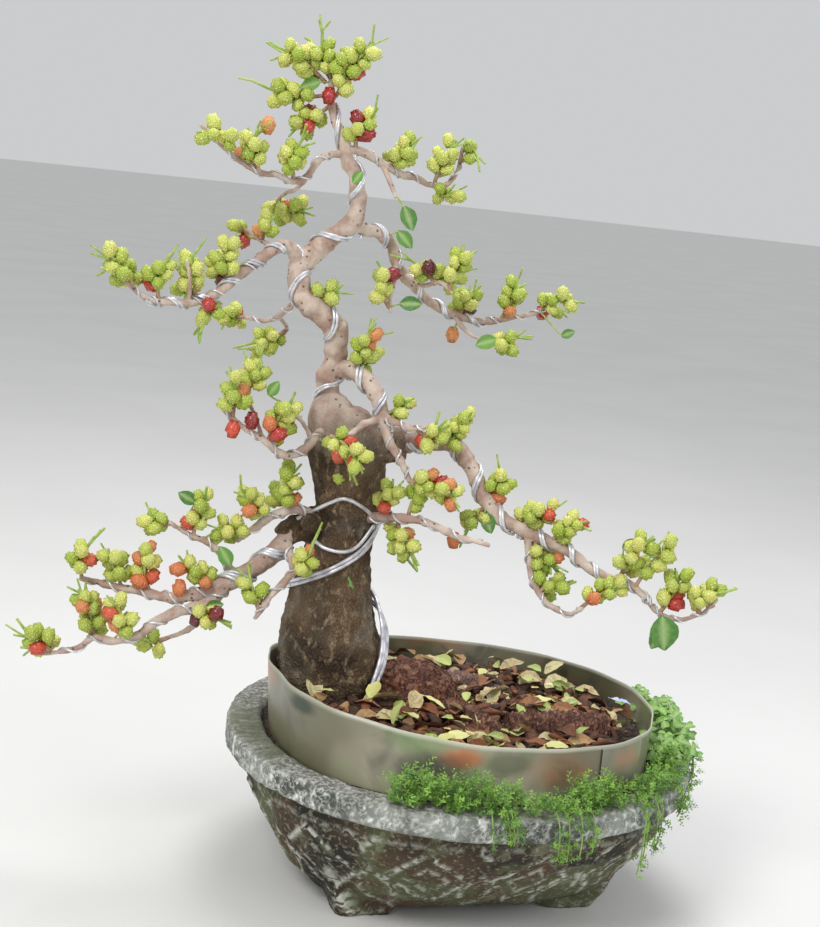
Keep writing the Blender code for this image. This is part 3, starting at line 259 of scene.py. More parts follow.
# Fruit in a later stage: across, up, and ripeness from 0.5, turning, to 1, dark.
RIPE_FRUIT = [
    (-174, 366, 0.8), (-198, 374, 0.9), (-160, 378, 0.8), (-213, 365, 0.75), (-115, 312, 0.74),
    (-139, 315, 0.8), (-64, 373, 0.76), (-48, 376, 0.86), (-34, 347, 0.86), (-26, 312, 0.72),
    (-41, 355, 0.62), (-36, 317, 0.64), (-22, 292, 0.66), (57, 320, 0.72), (86, 310, 0.76), (161, 254, 0.8),
    (-65, 507, 0.95), (-37, 476, 0.96), (-42, 462, 0.62), (-228, 199, 0.95), (-214, 204, 0.92),
    (-246, 468, 0.8), (-237, 482, 0.94), (-218, 521, 0.78), (-367, 156, 0.72), (-140, 658, 0.8),
    (-160, 640, 0.84), (-176, 628, 0.8), (-178, 618, 0.78), (-120, 604, 0.86), (-134, 622, 0.9),
    (-206, 612, 0.6), (-230, 590, 0.62), (-186, 552, 0.66), (-212, 466, 0.74), (-208, 528, 0.6),
    (-292, 470, 0.78), (-262, 484, 0.7), (-104, 468, 0.62), (-96, 500, 0.9), (-8, 482, 0.62), (30, 486, 0.82),
    (-104, 446, 0.62), (-212, 396, 0.64), (-190, 372, 0.66), (-130, 350, 0.7), (-116, 348, 0.78),
    (-152, 318, 0.64), (-196, 300, 0.64), (-90, 308, 0.72), (-58, 292, 0.62), (-30, 332, 0.6),
    (10, 336, 0.66), (44, 306, 0.78), (64, 286, 0.66), (96, 250, 0.66), (110, 262, 0.6), (132, 290, 0.62),
    (150, 296, 0.62), (168, 268, 0.72), (196, 262, 0.66), (-240, 292, 0.8), (-244, 280, 0.72),
    (-262, 240, 0.7), (-280, 226, 0.66), (-300, 196, 0.7), (-298, 182, 0.62), (-310, 204, 0.6),
    (-322, 238, 0.7), (-260, 256, 0.62), (-248, 246, 0.66), (-228, 236, 0.6), (-284, 246, 0.64),
    (-326, 196, 0.62), (-246, 226, 0.66), (-234, 222, 0.64), (-142, 270, 0.6), (-106, 372, 0.72),
]

# Single leaves left on the shoots: across, up, turn in degrees, length.
LEAVES = [
    (-168, 650, 200, 16), (-92, 560, 300, 20), (-95, 540, 320, 18), (-87, 482, 10, 18), (-6, 462, 200, 18),
    (160, 238, 250, 20), (-205, 250, 120, 18), (0, 318, 300, 18), (-134, 574, 60, 12), (-186, 396, 60, 14),
    (118, 300, 40, 14), (-238, 300, 150, 16), (-222, 212, 20, 14), (-120, 250, 340, 20), (46, 470, 30, 12),
]


# ---- Shapes ----


def seen(across, up, depth):
    """The point at this depth on the sight line from EYE to (across, up) on the pot's middle plane."""
    flat = Vector((across * MM, 0, up * MM))
    return MIDDLE + EYE + (flat - EYE) * (1 - depth * MM / EYE.y)


def smooth_run(points, spacing):
    """Points along a smooth curve through (place, radius) pairs, about the given spacing apart."""
    ends = [points[0]] + list(points) + [points[-1]]
    out = []
    for before, start, end, after in zip(ends, ends[1:], ends[2:], ends[3:]):
        steps = max(1, round((end[0] - start[0]).length / spacing))
        for step in range(steps):
            t = step / steps
            place = 0.5 * (2 * start[0] + (end[0] - before[0]) * t
                           + (2 * before[0] - 5 * start[0] + 4 * end[0] - after[0]) * t * t
                           + (3 * start[0] - before[0] - 3 * end[0] + after[0]) * t**3)
            out.append((place, start[1] + (end[1] - start[1]) * t))
    out.append(points[-1])
    return out


def wood_run(points, spacing):
    """A smooth run of (place, radius) pairs through points of wood."""
    return smooth_run([(seen(*point[:3]), point[3] * MM) for point in points], spacing)


def frames_along(run):
    """The run's points with two directions across it that turn as little as they can."""
    tangents = []
    for index in range(len(run)):
        ahead, behind = run[min(index + 1, len(run) - 1)][0], run[max(index - 1, 0)][0]
        tangents.append((ahead - behind).normalized())
    side = tangents[0].orthogonal().normalized()
    frames = []
    for (place, radius), tangent in zip(run, tangents):
        side = (side - tangent * side.dot(tangent)).normalized()
        frames.append((place, radius, tangent, side, tangent.cross(side)))
    return frames


def add_tube(builder, run, sides):
    rings = []
    for place, radius, _, side, up in frames_along(run):
        ring = []
        for index in range(sides):
            angle = tau * index / sides
            ring.append(builder.verts.new(place + (side * cos(angle) + up * sin(angle)) * radius))
        rings.append(ring)
    for low, high in zip(rings, rings[1:]):
        for index in range(sides):
            builder.faces.new((low[index], low[index - 1], high[index - 1], high[index]))
    builder.faces.new(rings[0])
    builder.faces.new(rings[-1])


def add_skin(builder, rings, close_ends=True, loop=False):
    """A surface through rings of equally many points."""
    rows = [[builder.verts.new(place) for place in ring] for ring in rings]
    pairs = list(zip(rows, rows[1:])) + ([(rows[-1], rows[0])] if loop else [])
    for low, high in pairs:
        for index in range(len(low)):
            builder.faces.new((low[index - 1], low[index], high[index], high[index - 1]))
    if close_ends:
        builder.faces.new(rows[0])
        builder.faces.new(rows[-1])


def oval_point(angle, half_length, half_depth, power, height=0.0):
    """A point of an oval on the pot's axes: an ellipse at power 2, squarer above it."""
    across = copysign(abs(cos(angle)) ** (2 / power), cos(angle)) * half_length
    deep = copysign(abs(sin(angle)) ** (2 / power), sin(angle)) * half_depth
    return Vector((across, deep, height))


def oval(half_length, half_depth, power, height, sides):
    return [POT_PLACE @ oval_point(tau * index / sides, half_length, half_depth, power, height)
            for index in range(sides)]


def linked(name, data):
    """A new object of the data, in the scene."""
    obj = bpy.data.objects.new(name, data)
    bpy.context.scene.collection.objects.link(obj)
    return obj


def mesh_of(name, builder, smooth=True):
    """Turns a bmesh into an object as it is."""
    mesh = bpy.data.meshes.new(name)
    builder.to_mesh(mesh)
    builder.free()
    if smooth:
        mesh.shade_smooth()
    return linked(name, mesh)


def build(name, builder, smooth=True):
    """Turns a bmesh into an object with its faces out."""
    bmesh.ops.recalc_face_normals(builder, faces=builder.faces)
    return mesh_of(name, builder, smooth)


def bake(obj):
    """Turns the object's modifiers into plain mesh."""
    graph = bpy.context.evaluated_depsgraph_get()
    mesh = bpy.data.meshes.new_from_object(obj.evaluated_get(graph), preserve_all_data_layers=True,
                                           depsgraph=graph)
    obj.modifiers.clear()
    obj.data = mesh
    return obj


def remesh(obj, voxel, passes):
    """Grows the object's overlapping shapes into one closed skin and eases it."""
    grown = obj.modifiers.new("grow", "REMESH")
    grown.mode = "VOXEL"
    grown.voxel_size = voxel
    grown.use_smooth_shade = True
    ease = obj.modifiers.new("ease", "SMOOTH")
    ease.factor = 0.5
    ease.iterations = passes
    return bake(obj)


def set_values(mesh, name, values):
    """Stores one number for each point, which materials read by name."""
    mesh.attributes.new(name, "FLOAT", "POINT").data.foreach_set("value", values)


def finish_piece(obj, name, material, nodes=()):
    """Names a finished piece, gives it its material, and sets it on the frame in place of the named nodes."""
    obj.name = name
    obj.data.name = name
    obj.data.materials.clear()
    obj.data.materials.append(material)
    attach(obj, "root")
    if nodes:
        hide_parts(*nodes)
    return obj


def nodes_like(start):
    return [name for name in frame["nodes"] if name.startswith(start)]


# ---- Geometry Nodes ----


def tree_input(tree, name, kind, default):
    socket = tree.interface.new_socket(name, in_out="INPUT", socket_type="NodeSocket" + kind)
    if default is not None:
        socket.default_value = default
    return socket


def start_tree(name, inputs):
    """A Geometry Nodes tree with a geometry input, the named inputs, and a geometry output."""
    tree = bpy.data.node_groups.new(name, "GeometryNodeTree")
    tree.interface.new_socket("Geometry", in_out="INPUT", socket_type="NodeSocketGeometry")
    for label, kind, default in inputs:
        tree_input(tree, label, kind, default)
    tree.interface.new_socket("Geometry", in_out="OUTPUT", socket_type="NodeSocketGeometry")
    return Graph(tree)


class Graph:
    """Adds nodes to a tree and joins them."""

    def __init__(self, tree):
        self.tree = tree

    def add(self, kind, inputs=None, **settings):
        node = self.tree.nodes.new(kind)
        for key, value in settings.items():
            setattr(node, key, value)
        for key, value in (inputs or {}).items():
            self.put(node.inputs[key], value)
        return node

    def put(self, socket, value):
        value = value.outputs[0] if isinstance(value, bpy.types.Node) else value
        if isinstance(value, bpy.types.NodeSocket):
            self.tree.links.new(value, socket)
        else:
            socket.default_value = value

    def math(self, operation, first, second):
        return self.add("ShaderNodeMath", {0: first, 1: second}, operation=operation).outputs[0]

    def times(self, first, second):
        return self.math("MULTIPLY", first, second)

    def plus(self, first, second):
        return self.math("ADD", first, second)

    def minus(self, first, second):
        return self.math("SUBTRACT", first, second)

    def vector(self, operation, first, second):
        slot = 3 if operation == "SCALE" else 1
        return self.add("ShaderNodeVectorMath", {0: first, slot: second}, operation=operation).outputs["Vector"]

    def named(self, name, kind="FLOAT"):
        return self.add("GeometryNodeInputNamedAttribute", {"Name": name}, data_type=kind).outputs[0]

    def cloud(self, vector, scale, **values):
        return self.add("ShaderNodeTexNoise", {"Vector": vector, "Scale": scale, **values}).outputs


def run_tree(obj, graph, values):
    """Runs a tree on the object with its inputs set by their identifiers, and keeps the plain mesh."""
    modifier = obj.modifiers.new(graph.tree.name, "NODES")
    modifier.node_group = graph.tree
    sockets = {item.name: item.identifier for item in graph.tree.interface.items_tree if item.in_out == "INPUT"}
    for label, value in values.items():
        modifier[sockets[label]] = value
    return bake(obj)


def end_tree(graph, geometry, material_socket):
    real = graph.add("GeometryNodeRealizeInstances", {"Geometry": geometry})
    painted = graph.add("GeometryNodeSetMaterial", {"Geometry": real, "Material": material_socket})
    out = graph.add("NodeGroupOutput")
    graph.put(out.inputs[0], painted)


def scatter_tree():
    """Sets one of a form on each point, turned, sized and tinted by the point's own values."""
    graph = start_tree("set_forms", [("Form", "Object", None), ("Material", "Material", None)])
    given = graph.add("NodeGroupInput").outputs
    form = graph.add("GeometryNodeObjectInfo", {"Object": given["Form"], "As Instance": True})
    euler = graph.add("FunctionNodeEulerToRotation", {"Euler": graph.named("turn", "FLOAT_VECTOR")})
    points = graph.add("GeometryNodeMeshToPoints", {"Mesh": given["Geometry"]})
    set_forms = graph.add("GeometryNodeInstanceOnPoints", {
        "Points": points, "Instance": form.outputs["Geometry"], "Rotation": euler.outputs[0],
        "Scale": graph.named("size", "FLOAT_VECTOR")})
    end_tree(graph, set_forms.outputs[0], given["Material"])
    return graph


def tube_tree():
    """Sweeps a round section along every run of edges, as thick as its points say."""
    graph = start_tree("sweep_runs", [("Sides", "Int", 6), ("Material", "Material", None)])
    given = graph.add("NodeGroupInput").outputs
    curve = graph.add("GeometryNodeMeshToCurve", {"Mesh": given["Geometry"]})
    section = graph.add("GeometryNodeCurvePrimitiveCircle", {"Resolution": given["Sides"], "Radius": 1.0})
    swept = graph.add("GeometryNodeCurveToMesh", {
        "Curve": curve, "Profile Curve": section, "Scale": graph.named("thick"),
        "Fill Caps": True})
    end_tree(graph, swept, given["Material"])
    return graph


def winding_tree():
    """Winds a wire round a run of edges: it lies on the wood at each point's own thickness."""
    graph = start_tree("wind_wire", [
        ("Start", "Float", 0.0), ("End", "Float", 1.0), ("Turns", "Float", 6.0), ("Phase", "Float", 0.0),
        ("Wire Radius", "Float", 0.0015), ("Points", "Int", 200), ("Material", "Material", None)])
    given = graph.add("NodeGroupInput").outputs
    curve = graph.add("GeometryNodeMeshToCurve", {"Mesh": given["Geometry"]})
    piece = graph.add("GeometryNodeTrimCurve", {
        "Curve": curve, "Start": given["Start"], "End": given["End"]}, mode="FACTOR")
    even = graph.add("GeometryNodeResampleCurve", {"Curve": piece, "Count": given["Points"]})
    share = graph.add("GeometryNodeSplineParameter").outputs["Factor"]
    wobble = graph.add("ShaderNodeTexNoise", {"Scale": 22.0, "Detail": 1.0}, noise_dimensions="3D")
    turned = graph.plus(graph.times(graph.times(share, given["Turns"]), tau), given["Phase"])
    angle = graph.plus(turned, graph.times(graph.minus(wobble.outputs[0], 0.5), 1.5))
    normal = graph.add("GeometryNodeInputNormal").outputs[0]
    tangent = graph.add("GeometryNodeInputTangent").outputs[0]
    way = graph.add("ShaderNodeVectorRotate", {"Vector": normal, "Center": (0, 0, 0), "Axis": tangent,
                                               "Angle": angle},
                    rotation_type="AXIS_ANGLE")
    reach = graph.minus(graph.plus(graph.named("thick"), given["Wire Radius"]), WIRE_BITE)
    offset = graph.vector("SCALE", way.outputs[0], reach)
    wound = graph.add("GeometryNodeSetPosition", {"Geometry": even, "Offset": offset})
    section = graph.add("GeometryNodeCurvePrimitiveCircle", {"Resolution": 8, "Radius": given["Wire Radius"]})
    swept = graph.add("GeometryNodeCurveToMesh", {
        "Curve": wound, "Profile Curve": section, "Fill Caps": True})
    end_tree(graph, swept, given["Material"])
    return graph


def runs_object(name, runs):
    """Runs of (place, thickness) as chains of edges, each point with its thickness."""
    places, edges, thick = [], [], []
    for run in runs:
        first = len(places)
        places += [place for place, _ in run]
        thick += [radius for _, radius in run]
        edges += [(index, index + 1) for index in range(first, len(places) - 1)]
    mesh = bpy.data.meshes.new(name)
    mesh.from_pydata(places, edges, [])
    set_values(mesh, "thick", thick)
    return linked(name, mesh)


def points_object(name, settings):
    """Points of (place, turn as a matrix, size, {value name: number}) for the scatter tree."""
    mesh = bpy.data.meshes.new(name)
    mesh.from_pydata([item[0] for item in settings], [], [])
    turns = mesh.attributes.new("turn", "FLOAT_VECTOR", "POINT")
    sizes = mesh.attributes.new("size", "FLOAT_VECTOR", "POINT")
    for index, (_, turn, size, _) in enumerate(settings):
        turns.data[index].vector = turn.to_euler()
        sizes.data[index].vector = size if isinstance(size, Vector) else (size, size, size)
    for key in settings[0][3]:
        set_values(mesh, key, [item[3][key] for item in settings])
    return linked(name, mesh)


def scatter(name, form, settings, material):
    """Sets the form at each of the settings, and returns one plain mesh object."""
    obj = points_object(name, settings)
    run_tree(obj, tree("scatter"), {"Form": form, "Material": material})
    bpy.data.objects.remove(form)
    obj.data.shade_smooth()
    return obj


def swept(name, runs, sides, material):
    """Round stems or wires along the runs, as one plain mesh object."""
    return run_tree(runs_object(name, runs), tree("tube"), {"Sides": sides, "Material": material})


def scatter_piece(name, form, settings, material, nodes=()):
    return finish_piece(scatter(name, form, settings, material), name, material, nodes)


TREE_MAKERS = {"scatter": scatter_tree, "tube": tube_tree, "winding": winding_tree}
TREES = {}


def tree(name):
    """The node tree of that name, built the first time it is asked for."""
    if name not in TREES:
        TREES[name] = TREE_MAKERS[name]()
    return TREES[name]


# ---- Materials ----


class Finish(Graph):
    """A material's own graph: its Principled shader, and short names for the steps that feed it."""

    def __init__(self, name, **constants):
        if not GROUPS:
            make_groups()
        self.material = bpy.data.materials.new(name)
        self.material.use_nodes = True
        super().__init__(self.material.node_tree)
        self.shader = self.tree.nodes["Principled BSDF"]
        for key, value in constants.items():
            self.shader.inputs[key.replace("_", " ")].default_value = value
        self.place = self.add("ShaderNodeTexCoord").outputs["Object"]

    def value(self, name):
        return self.add("ShaderNodeAttribute", attribute_name=name).outputs["Fac"]

    def ramp(self, factor, stops):
        node = self.add("ShaderNodeValToRGB", {"Fac": factor})
        band = node.color_ramp
        band.interpolation = "EASE"
        first, last = band.elements
        first.position, last.position = stops[0][0], stops[-1][0]
        first.color, last.color = (*stops[0][1], 1), (*stops[-1][1], 1)
        for position, color in stops[1:-1]:
            band.elements.new(position).color = (*color, 1)
        return node.outputs["Color"]

    def mix(self, factor, first, second, blend="MIX"):
        node = self.add("ShaderNodeMix", data_type="RGBA", blend_type=blend)
        for index, value in ((0, factor), (6, first), (7, second)):
            plain = index and not isinstance(value, bpy.types.NodeSocket)
            self.put(node.inputs[index], (*value, 1) if plain else value)
        return node.outputs[2]

    def over(self, color, other, mask, share):
        """The other colour laid over the first where the mask is, at that share of its strength."""
        return self.mix(self.times(mask, share), color, other)

    def squeeze(self, value, low, high, to_low=0.0, to_high=1.0):
        node = self.add("ShaderNodeMapRange", {
            "Value": value, "From Min": low, "From Max": high, "To Min": to_low, "To Max": to_high},
            interpolation_type="SMOOTHSTEP")
        return node.outputs["Result"]

    def stretched(self, scale):
        return self.add("ShaderNodeMapping", {"Vector": self.place, "Scale": scale}).outputs[0]

    def axis(self, index):
        return self.add("ShaderNodeSeparateXYZ", {"Vector": self.place}).outputs[index]

    def use(self, group, **values):
        node = self.add("ShaderNodeGroup", node_tree=GROUPS[group])
        values.setdefault("Vector", self.place)
        for key, value in values.items():
            self.put(node.inputs[key.replace("_", " ")], value)
        return node.outputs

    def patches(self, scale, low, high, **values):
        return self.use("patches", Scale=scale, Low=low, High=high, **values)["Mask"]

    def grain(self, scale, coarse=90.0):
        return self.use("grain", Scale=scale, Coarse_Scale=coarse)["Height"]

    def spots(self, scale, size, share):
        return self.use("spots", Scale=scale, Size=size, Share=share)["Mask"]

    def bump(self, height, strength, distance):
        node = self.add("ShaderNodeBump", {"Height": height, "Strength": strength, "Distance": distance})
        self.put(self.shader.inputs["Normal"], node.outputs[0])

    def set(self, **sockets):
        for key, value in sockets.items():
            self.put(self.shader.inputs[key.replace("_", " ")], value)
        return self.material


GROUPS = {}


def start_group(name, outputs, **inputs):
    """A shader group with a vector input, the named numbers after it, and the outputs."""
    tree = bpy.data.node_groups.new(name, "ShaderNodeTree")
    tree_input(tree, "Vector", "Vector", None)
    for key, default in inputs.items():
        tree_input(tree, key.replace("_", " "), "Float", default)
    for label in outputs:
        tree.interface.new_socket(label, in_out="OUTPUT", socket_type="NodeSocketFloat")
    graph = Graph(tree)
    return graph, graph.add("NodeGroupInput").outputs, graph.add("NodeGroupOutput").inputs


def make_groups():
    """The effects that several finishes share."""
    graph, given, out = start_group("patches", ["Mask"], Scale=20.0, Detail=4.0, Low=0.4, High=0.6,
                                    Distortion=0.3)
    cloud = graph.cloud(given["Vector"], given["Scale"], Detail=given["Detail"], Distortion=given["Distortion"])
    edge = graph.add("ShaderNodeMapRange", {"Value": cloud[0], "From Min": given["Low"],
                                            "From Max": given["High"]}, interpolation_type="SMOOTHSTEP")
    graph.put(out["Mask"], edge.outputs["Result"])
    GROUPS["patches"] = graph.tree

    graph, given, out = start_group("grain", ["Height"], Scale=400.0, Coarse_Scale=90.0, Coarse_Share=0.6)
    fine = graph.cloud(given["Vector"], given["Scale"], Detail=4.0)[0]
    coarse = graph.cloud(given["Vector"], given["Coarse Scale"], Detail=3.0)[0]
    graph.put(out["Height"], graph.plus(fine, graph.times(coarse, given["Coarse Share"])))
    GROUPS["grain"] = graph.tree

    graph, given, out = start_group("veins", ["Mask", "Dome"], Scale=60.0, Width=0.08, Bend=0.01)
    bend = graph.vector("SUBTRACT", graph.cloud(given["Vector"], 55.0, Detail=3.0)["Color"], (0.5, 0.5, 0.5))
    moved = graph.vector("ADD", given["Vector"], graph.vector("SCALE", bend, given["Bend"]))
    cells = graph.add("ShaderNodeTexVoronoi", {"Vector": moved, "Scale": given["Scale"]},
                      feature="DISTANCE_TO_EDGE")
    line = graph.add("ShaderNodeMapRange", {"Value": cells.outputs[0], "From Min": given["Width"],
                                            "From Max": 0.0},
                     interpolation_type="SMOOTHSTEP")
    graph.put(out["Mask"], line.outputs["Result"])
    graph.put(out["Dome"], cells.outputs[0])
    GROUPS["veins"] = graph.tree

    graph, given, out = start_group("spots", ["Mask"], Scale=120.0, Size=0.2, Share=0.5)
    cells = graph.add("ShaderNodeTexVoronoi", {"Vector": given["Vector"], "Scale": given["Scale"]})
    inside = graph.add("ShaderNodeMapRange", {"Value": cells.outputs["Distance"], "From Min": given["Size"],
                                              "From Max": graph.times(given["Size"], 0.5)})
    pick = graph.add("ShaderNodeSeparateColor", {"Color": cells.outputs["Color"]})
    chosen = graph.math("LESS_THAN", pick.outputs[0], given["Share"])
    graph.put(out["Mask"], graph.times(inside.outputs["Result"], chosen))
    GROUPS["spots"] = graph.tree


def cement_finish(look):
    """Cast cement: a hammered rim with pale veins, and a bowl stained brown and black with green growth."""
    mat = Finish("weathered_cement", Specular_IOR_Level=0.35)
    rim = mat.value("rim")
    veins = mat.use("veins", Scale=95.0, Width=0.13, Bend=0.022)
    veins_fine = mat.use("veins", Scale=210.0, Width=0.12, Bend=0.02)
    thin = mat.patches(26.0, 0.34, 0.62)
    grey = mat.mix(mat.patches(14.0, 0.4, 0.62), look.rim_dark, look.rim_grey)
    worn_edge = mat.math("MAXIMUM", mat.value("crest"), mat.times(veins_fine["Mask"], 0.45))
    ragged = mat.patches(150.0, 0.34, 0.56, Detail=4.0)
    grey = mat.mix(mat.times(mat.times(worn_edge, ragged), mat.squeeze(thin, 0, 1, 0.6, 1.0)), grey,
                   look.vein_white)
    dust = mat.patches(330.0, 0.45, 0.62, Detail=3.0)
    top = mat.mix(dust, (0.15, 0.15, 0.13), (0.52, 0.52, 0.49))
    top = mat.mix(mat.patches(18.0, 0.46, 0.66), top, (0.16, 0.17, 0.11))
    rim_color = mat.mix(mat.value("ledge"), grey, top)
    brown = mat.mix(mat.patches(11.0, 0.4, 0.6), (0.018, 0.017, 0.012), (0.088, 0.056, 0.031))
    olive = mat.mix(mat.patches(17.0, 0.48, 0.6, Detail=6.0, Distortion=0.8), brown,
                    (0.095, 0.105, 0.05))
    speck = mat.patches(260.0, 0.52, 0.7, Detail=4.0)
    olive = mat.over(olive, (0.3, 0.27, 0.19), speck, 0.7)
    bloom = mat.patches(46.0, 0.58, 0.7, Detail=6.0, Distortion=0.3)
    olive = mat.over(olive, (0.24, 0.28, 0.17), bloom, 0.45)
    worn = mat.times(mat.value("relief"), mat.patches(120.0, 0.42, 0.58, Detail=6.0, Distortion=0.8))
    body = mat.mix(worn, olive, (0.62, 0.64, 0.56))
    color = mat.mix(rim, body, rim_color)
    grain = mat.grain(620.0, 160.0)
    height = mat.plus(grain, mat.times(veins["Dome"], mat.times(rim, 0.8)))
    mat.bump(height, 0.6, 0.0012)
    return mat.set(Base_Color=color, Roughness=mat.squeeze(grain, 0.5, 1.2, 0.72, 0.95))


def bark_finish(name, look, rough_below, rough_above):
    """Bark: dark and fissured low down, pale and smooth with dark lenticels higher up."""
    mat = Finish(name, Specular_IOR_Level=0.3)
    up = mat.stretched((1.0, 1.0, 0.75))
    crack = mat.use("veins", Vector=up, Scale=330.0, Width=0.15, Bend=0.01)
    mottle = mat.patches(24.0, 0.35, 0.66, Detail=5.0)
    dark = mat.mix(mottle, look.bark_dark, look.bark_brown)
    flake = mat.patches(150.0, 0.5, 0.66, Vector=up, Detail=5.0)
    dark = mat.over(dark, look.bark_flake, flake, 0.75)
    dark = mat.over(dark, (0.018, 0.012, 0.008), crack["Mask"], 0.5)
    grey = mat.patches(16.0, 0.52, 0.68)
    dark = mat.over(dark, (0.21, 0.2, 0.16), grey, 0.55)
    smooth = mat.mix(mat.patches(60.0, 0.36, 0.66, Detail=5.0), look.bark_pink,
                     look.bark_pale)
    smooth = mat.over(smooth, (0.5, 0.46, 0.42), mat.patches(210.0, 0.5, 0.7, Detail=4.0), 0.5)
    spots = mat.spots(210.0, 0.3, 0.34)
    smooth = mat.over(smooth, (0.085, 0.05, 0.035), spots, 0.85)
    age = mat.squeeze(mat.plus(mat.axis(2), mat.times(mottle, 0.02)), rough_below, rough_above)
    color = mat.mix(age, dark, smooth)
    deep = mat.plus(mat.times(crack["Dome"], 1.8), mat.grain(330.0, 110.0))
    fine = mat.times(mat.grain(500.0, 170.0), 0.45)
    low = mat.times(deep, mat.minus(1.0, age))
    mat.bump(mat.plus(low, mat.times(fine, age)), 0.75, 0.0016)
    return mat.set(Base_Color=color, Roughness=mat.squeeze(mottle, 0.0, 1.0, 0.95, 0.78))


def wire_finish(look):
    mat = Finish("aluminium_wire")
    mat.shader.inputs["Metallic"].default_value = look.wire_metal
    dull = mat.patches(120.0, 0.4, 0.65)
    color = mat.mix(dull, look.wire_color, (0.5, 0.5, 0.56))
    mat.bump(mat.grain(900.0, 240.0), 0.15, 0.0004)
    return mat.set(Base_Color=color, Roughness=mat.squeeze(dull, 0.0, 1.0, 0.34, 0.52))


def fruit_finish(look):
    """Mulberry skin: yellow-green through peach and red to nearly black, with painted shade between the
    drupelets and painted highlights on the drupelet tips of unripe fruit.
    """
    mat = Finish("mulberry_skin", Subsurface_Weight=0.12, Subsurface_Scale=0.004, Coat_Roughness=0.25)
    ripe = mat.value("ripe")
    skin = mat.ramp(ripe, [(0.0, look.fruit_green), (0.42, look.fruit_yellow), (0.6, (0.88, 0.36, 0.14)),
                           (0.74, (0.8, 0.085, 0.045)), (0.84, (0.52, 0.014, 0.018)),
                           (0.97, (0.11, 0.004, 0.01))])
    cells = mat.use("veins", Scale=410.0, Width=0.16, Bend=0.0006)
    # Painted shade: the skin is darkened towards the edge of each drupelet cell and in the berry mesh's hollows.
    valley_shade = mat.mix(0.55, skin, (0.42, 0.44, 0.1), "MULTIPLY")
    color = mat.mix(mat.squeeze(mat.times(cells["Dome"], mat.value("lump")), 0.0, 0.1), valley_shade, skin)
    # Painted highlight: a pale cream laid on the middle of each drupelet of unripe fruit.
    tip = mat.mix(0.55, skin, (0.95, 0.95, 0.6))
    color = mat.mix(mat.times(mat.squeeze(cells["Dome"], 0.22, 0.42), mat.squeeze(ripe, 0.7, 0.5)), color, tip)
    mat.bump(mat.squeeze(cells["Dome"], 0.0, 0.45), 0.7, 0.0012)
    return mat.set(Base_Color=color, Coat_Weight=mat.squeeze(ripe, 0.6, 0.8, 0.05, 0.8),
                   Roughness=mat.squeeze(ripe, 0.5, 0.9, 0.55, 0.28))


def shoot_finish(look):
    """Young wood: tan where it leaves the limb, yellow-green at its cut end."""
    mat = Finish("young_shoot")
    mottle = mat.patches(180.0, 0.35, 0.7)
    green = mat.mix(mottle, look.shoot_green, (0.46, 0.58, 0.16))
    tan = mat.mix(mottle, (0.3, 0.17, 0.1), (0.52, 0.36, 0.24))
    color = mat.mix(mat.squeeze(mat.value("thick"), 0.0012, 0.0017), green, tan)
    mat.bump(mat.grain(800.0, 260.0), 0.35, 0.0006)
    return mat.set(Base_Color=color, Roughness=mat.squeeze(mottle, 0, 1, 0.5, 0.7))


def leaf_finish(name, dark, light, waxy=0.4):
    """A small leaf with a pale midrib; each leaf's tint comes from its own value."""
    mat = Finish(name, Subsurface_Weight=0.08, Subsurface_Scale=0.003)
    tint = mat.value("tint")
    color = mat.mix(tint, dark, light)
    color = mat.over(color, light, mat.patches(240.0, 0.4, 0.65), 0.35)
    color = mat.over(color, (0.55, 0.66, 0.3), mat.value("rib"), 0.5)
    mat.bump(mat.use("veins", Scale=420.0, Width=0.2, Bend=0.002)["Mask"], 0.25, 0.0005)
    return mat.set(Base_Color=color, Roughness=mat.squeeze(tint, 0, 1, waxy, waxy + 0.2))


def soil_finish():
    mat = Finish("dark_soil")
    crumb = mat.patches(230.0, 0.38, 0.66, Detail=5.0)
    color = mat.mix(crumb, (0.012, 0.008, 0.006), (0.075, 0.04, 0.022))
    color = mat.over(color, (0.3, 0.21, 0.13), mat.spots(300.0, 0.4, 0.25), 0.8)
    mat.bump(mat.grain(420.0, 130.0), 1.0, 0.003)
    return mat.set(Base_Color=color, Roughness=mat.squeeze(crumb, 0, 1, 0.95, 0.8))


def litter_finish():
    """Bark chips and dry leaves, from black-brown through orange to pale straw by each piece's tint."""
    mat = Finish("bark_chips")
    tint = mat.value("tint")
    color = mat.ramp(tint, [(0.0, (0.028, 0.014, 0.009)), (0.35, (0.11, 0.042, 0.022)),
                            (0.6, (0.3, 0.105, 0.04)),
                            (0.8, (0.5, 0.3, 0.14)), (1.0, (0.7, 0.62, 0.34))])
    streak = mat.patches(160.0, 0.35, 0.7, Detail=5.0, Distortion=1.0)
    color = mat.over(color, mat.mix(0.75, color, (0.05, 0.03, 0.02)), streak, 0.6)
    mat.bump(mat.grain(520.0, 150.0), 0.6, 0.0015)
    return mat.set(Base_Color=color, Roughness=mat.squeeze(streak, 0, 1, 0.65, 0.9))


def root_finish():
    """Red-brown root with fine cross ridges and fibres."""
    mat = Finish("fibrous_root", Specular_IOR_Level=0.3)
    fibre = mat.patches(210.0, 0.38, 0.64, Vector=mat.stretched((1.0, 1.0, 0.5)), Detail=6.0, Distortion=1.6)
    color = mat.mix(fibre, (0.05, 0.017, 0.012), (0.3, 0.125, 0.075))
    color = mat.over(color, (0.44, 0.26, 0.18), mat.patches(120.0, 0.52, 0.7), 0.5)
    color = mat.mix(mat.value("worn"), color, mat.mix(fibre, (0.26, 0.15, 0.12), (0.47, 0.33, 0.28)))
    mat.bump(mat.plus(fibre, mat.grain(400.0, 140.0)), 1.0, 0.0022)
    return mat.set(Base_Color=color, Roughness=mat.squeeze(fibre, 0, 1, 0.9, 0.72))


